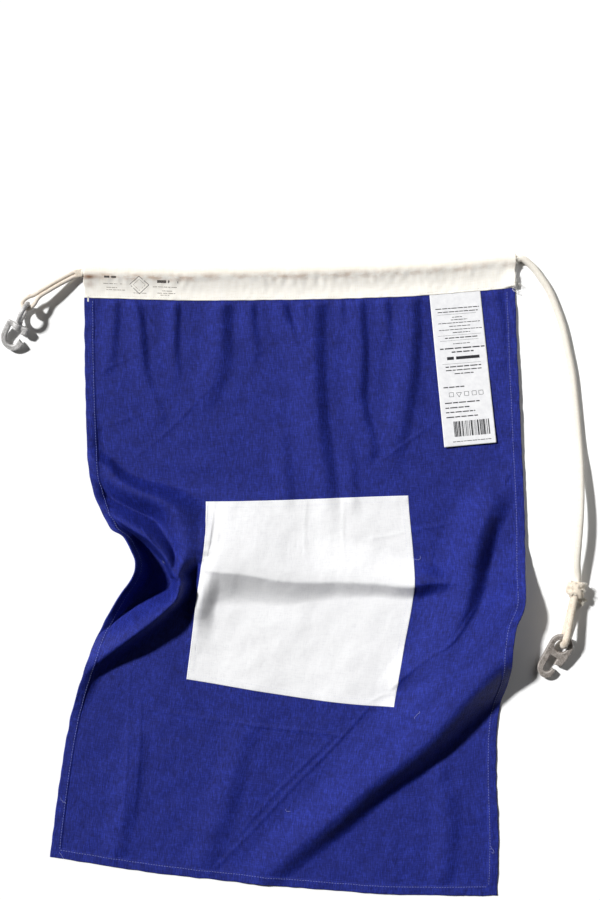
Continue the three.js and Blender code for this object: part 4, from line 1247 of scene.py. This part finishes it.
def loose_threads():
    """Thread ends: a tangle at the heading's raw right corner and a few stray ones on the cloth."""
    draw = np.random.default_rng(53)
    parts = []
    corner = plan_point(np.array([1.0]), 0.0)[0]
    for k in range(15):
        start = (corner[0] - 1 + draw.uniform(-3, 2), corner[1] + draw.uniform(-3, 6), 3.6)
        direction = (draw.uniform(0.2, 1), draw.uniform(-1, 0.3), draw.uniform(-0.1, 0.2))
        line = yarn_line(start, direction, draw.uniform(9, 22), 0.55, draw, 9)
        parts.append(tube(line, 0.17, 6))
    for k in range(26):
        q = draw.uniform(3, 40)
        start = heading_face(np.array([HEADING_WIDTH - 0.5]), np.array([q]))[0]
        direction = (1, draw.uniform(-0.7, 0.5), draw.uniform(-0.3, 0.2))
        line = yarn_line(start, direction, draw.uniform(1.5, 5), 0.3, draw, 4)
        parts.append(tube(line, 0.14, 5))
    thread_piece("heading_loose_threads", parts, WHITE_THREAD)

    parts = []
    for s, t, angle, length in STRAY_ENDS:
        point, normal = cloth_frame(np.array([s]), np.array([t]))
        line, d = [point[0] + normal[0] * 1.75], np.array((math.cos(angle), math.sin(angle)))
        for _ in range(STRAY_BENDS):
            turn = draw.normal(0, 0.6)
            d = np.array((d[0] * math.cos(turn) - d[1] * math.sin(turn),
                          d[0] * math.sin(turn) + d[1] * math.cos(turn)))
            s = s + d[0] * length / STRAY_BENDS / PANEL_WIDTH
            t = t + d[1] * length / STRAY_BENDS / PANEL_LENGTH
            point, normal = cloth_frame(np.array([min(s, 0.999)]), np.array([min(t, 0.999)]))
            line.append(point[0] + normal[0] * 1.85)
        parts.append(tube(curve_through(line, 0.6), 0.16, 6))
    thread_piece("stray_threads", parts, STRAY_THREAD)


# ---- Clips: the CAD's own pieces, with cast edges and metal
def cast(name, material, voxel=0.42, smoothing=6):
    piece = bpy.data.objects[name]
    remesh = piece.modifiers.new("cast", "REMESH")
    remesh.mode, remesh.voxel_size, remesh.use_smooth_shade = "VOXEL", voxel * MM, True
    smooth = piece.modifiers.new("worn", "SMOOTH")
    smooth.factor, smooth.iterations = 0.5, smoothing
    for slot in piece.material_slots:
        slot.material = material


# ---- Light, floor and world
def make_floor():
    f = Finish("pale_floor", 0.9, Specular_IOR_Level=0.1)
    f.surface.inputs["Base Color"].default_value = (0.96, 0.96, 0.955, 1)
    mesh = bpy.data.meshes.new("floor")
    half, low = 4.0, -0.0002
    mesh.from_pydata([(-half, -half, low), (half, -half, low), (half, half, low), (-half, half, low)], [],
                     [(0, 1, 2, 3)])
    mesh.materials.append(f.material)
    floor = bpy.data.objects.new("floor", mesh)
    bpy.context.scene.collection.objects.link(floor)


def make_light():
    """A hard key from the upper left and a soft low fill from the right."""
    elevation, east, south = math.radians(44), 0.83, 0.55
    sun = bpy.data.lights.new("key", "SUN")
    sun.energy, sun.angle = 4.6, math.radians(5)
    lamp = bpy.data.objects.new("key", sun)
    bpy.context.scene.collection.objects.link(lamp)
    travel = Vector((east * math.cos(elevation), -south * math.cos(elevation), -math.sin(elevation)))
    lamp.rotation_euler = travel.to_track_quat("-Z", "Y").to_euler()
    soft = bpy.data.lights.new("fill", "AREA")
    soft.shape, soft.size, soft.energy = "DISK", 0.8, 2.1
    box = bpy.data.objects.new("fill", soft)
    bpy.context.scene.collection.objects.link(box)
    box.location = (0.9, 0.6, 0.75)
    box.rotation_euler = (Vector((0.1, 0.0, 0.0)) - box.location).to_track_quat("-Z", "Y").to_euler()
    box.visible_camera = False
    world = bpy.data.worlds.new("studio")
    world.use_nodes = True
    world.node_tree.nodes["Background"].inputs["Color"].default_value = (1, 1, 1, 1)
    world.node_tree.nodes["Background"].inputs["Strength"].default_value = 0.03
    bpy.context.scene.world = world
    bpy.context.scene.view_settings.view_transform = "Standard"


make_floor()
make_light()
make_panel()
make_patch()
make_heading()
make_label()
label_print()
heading_stamps()
make_stitches()
loose_threads()
cast("swivel_eye", SWIVEL_METAL)
cast("swivel_hook", SWIVEL_METAL)
cast("fixed_clip", FIXED_METAL)
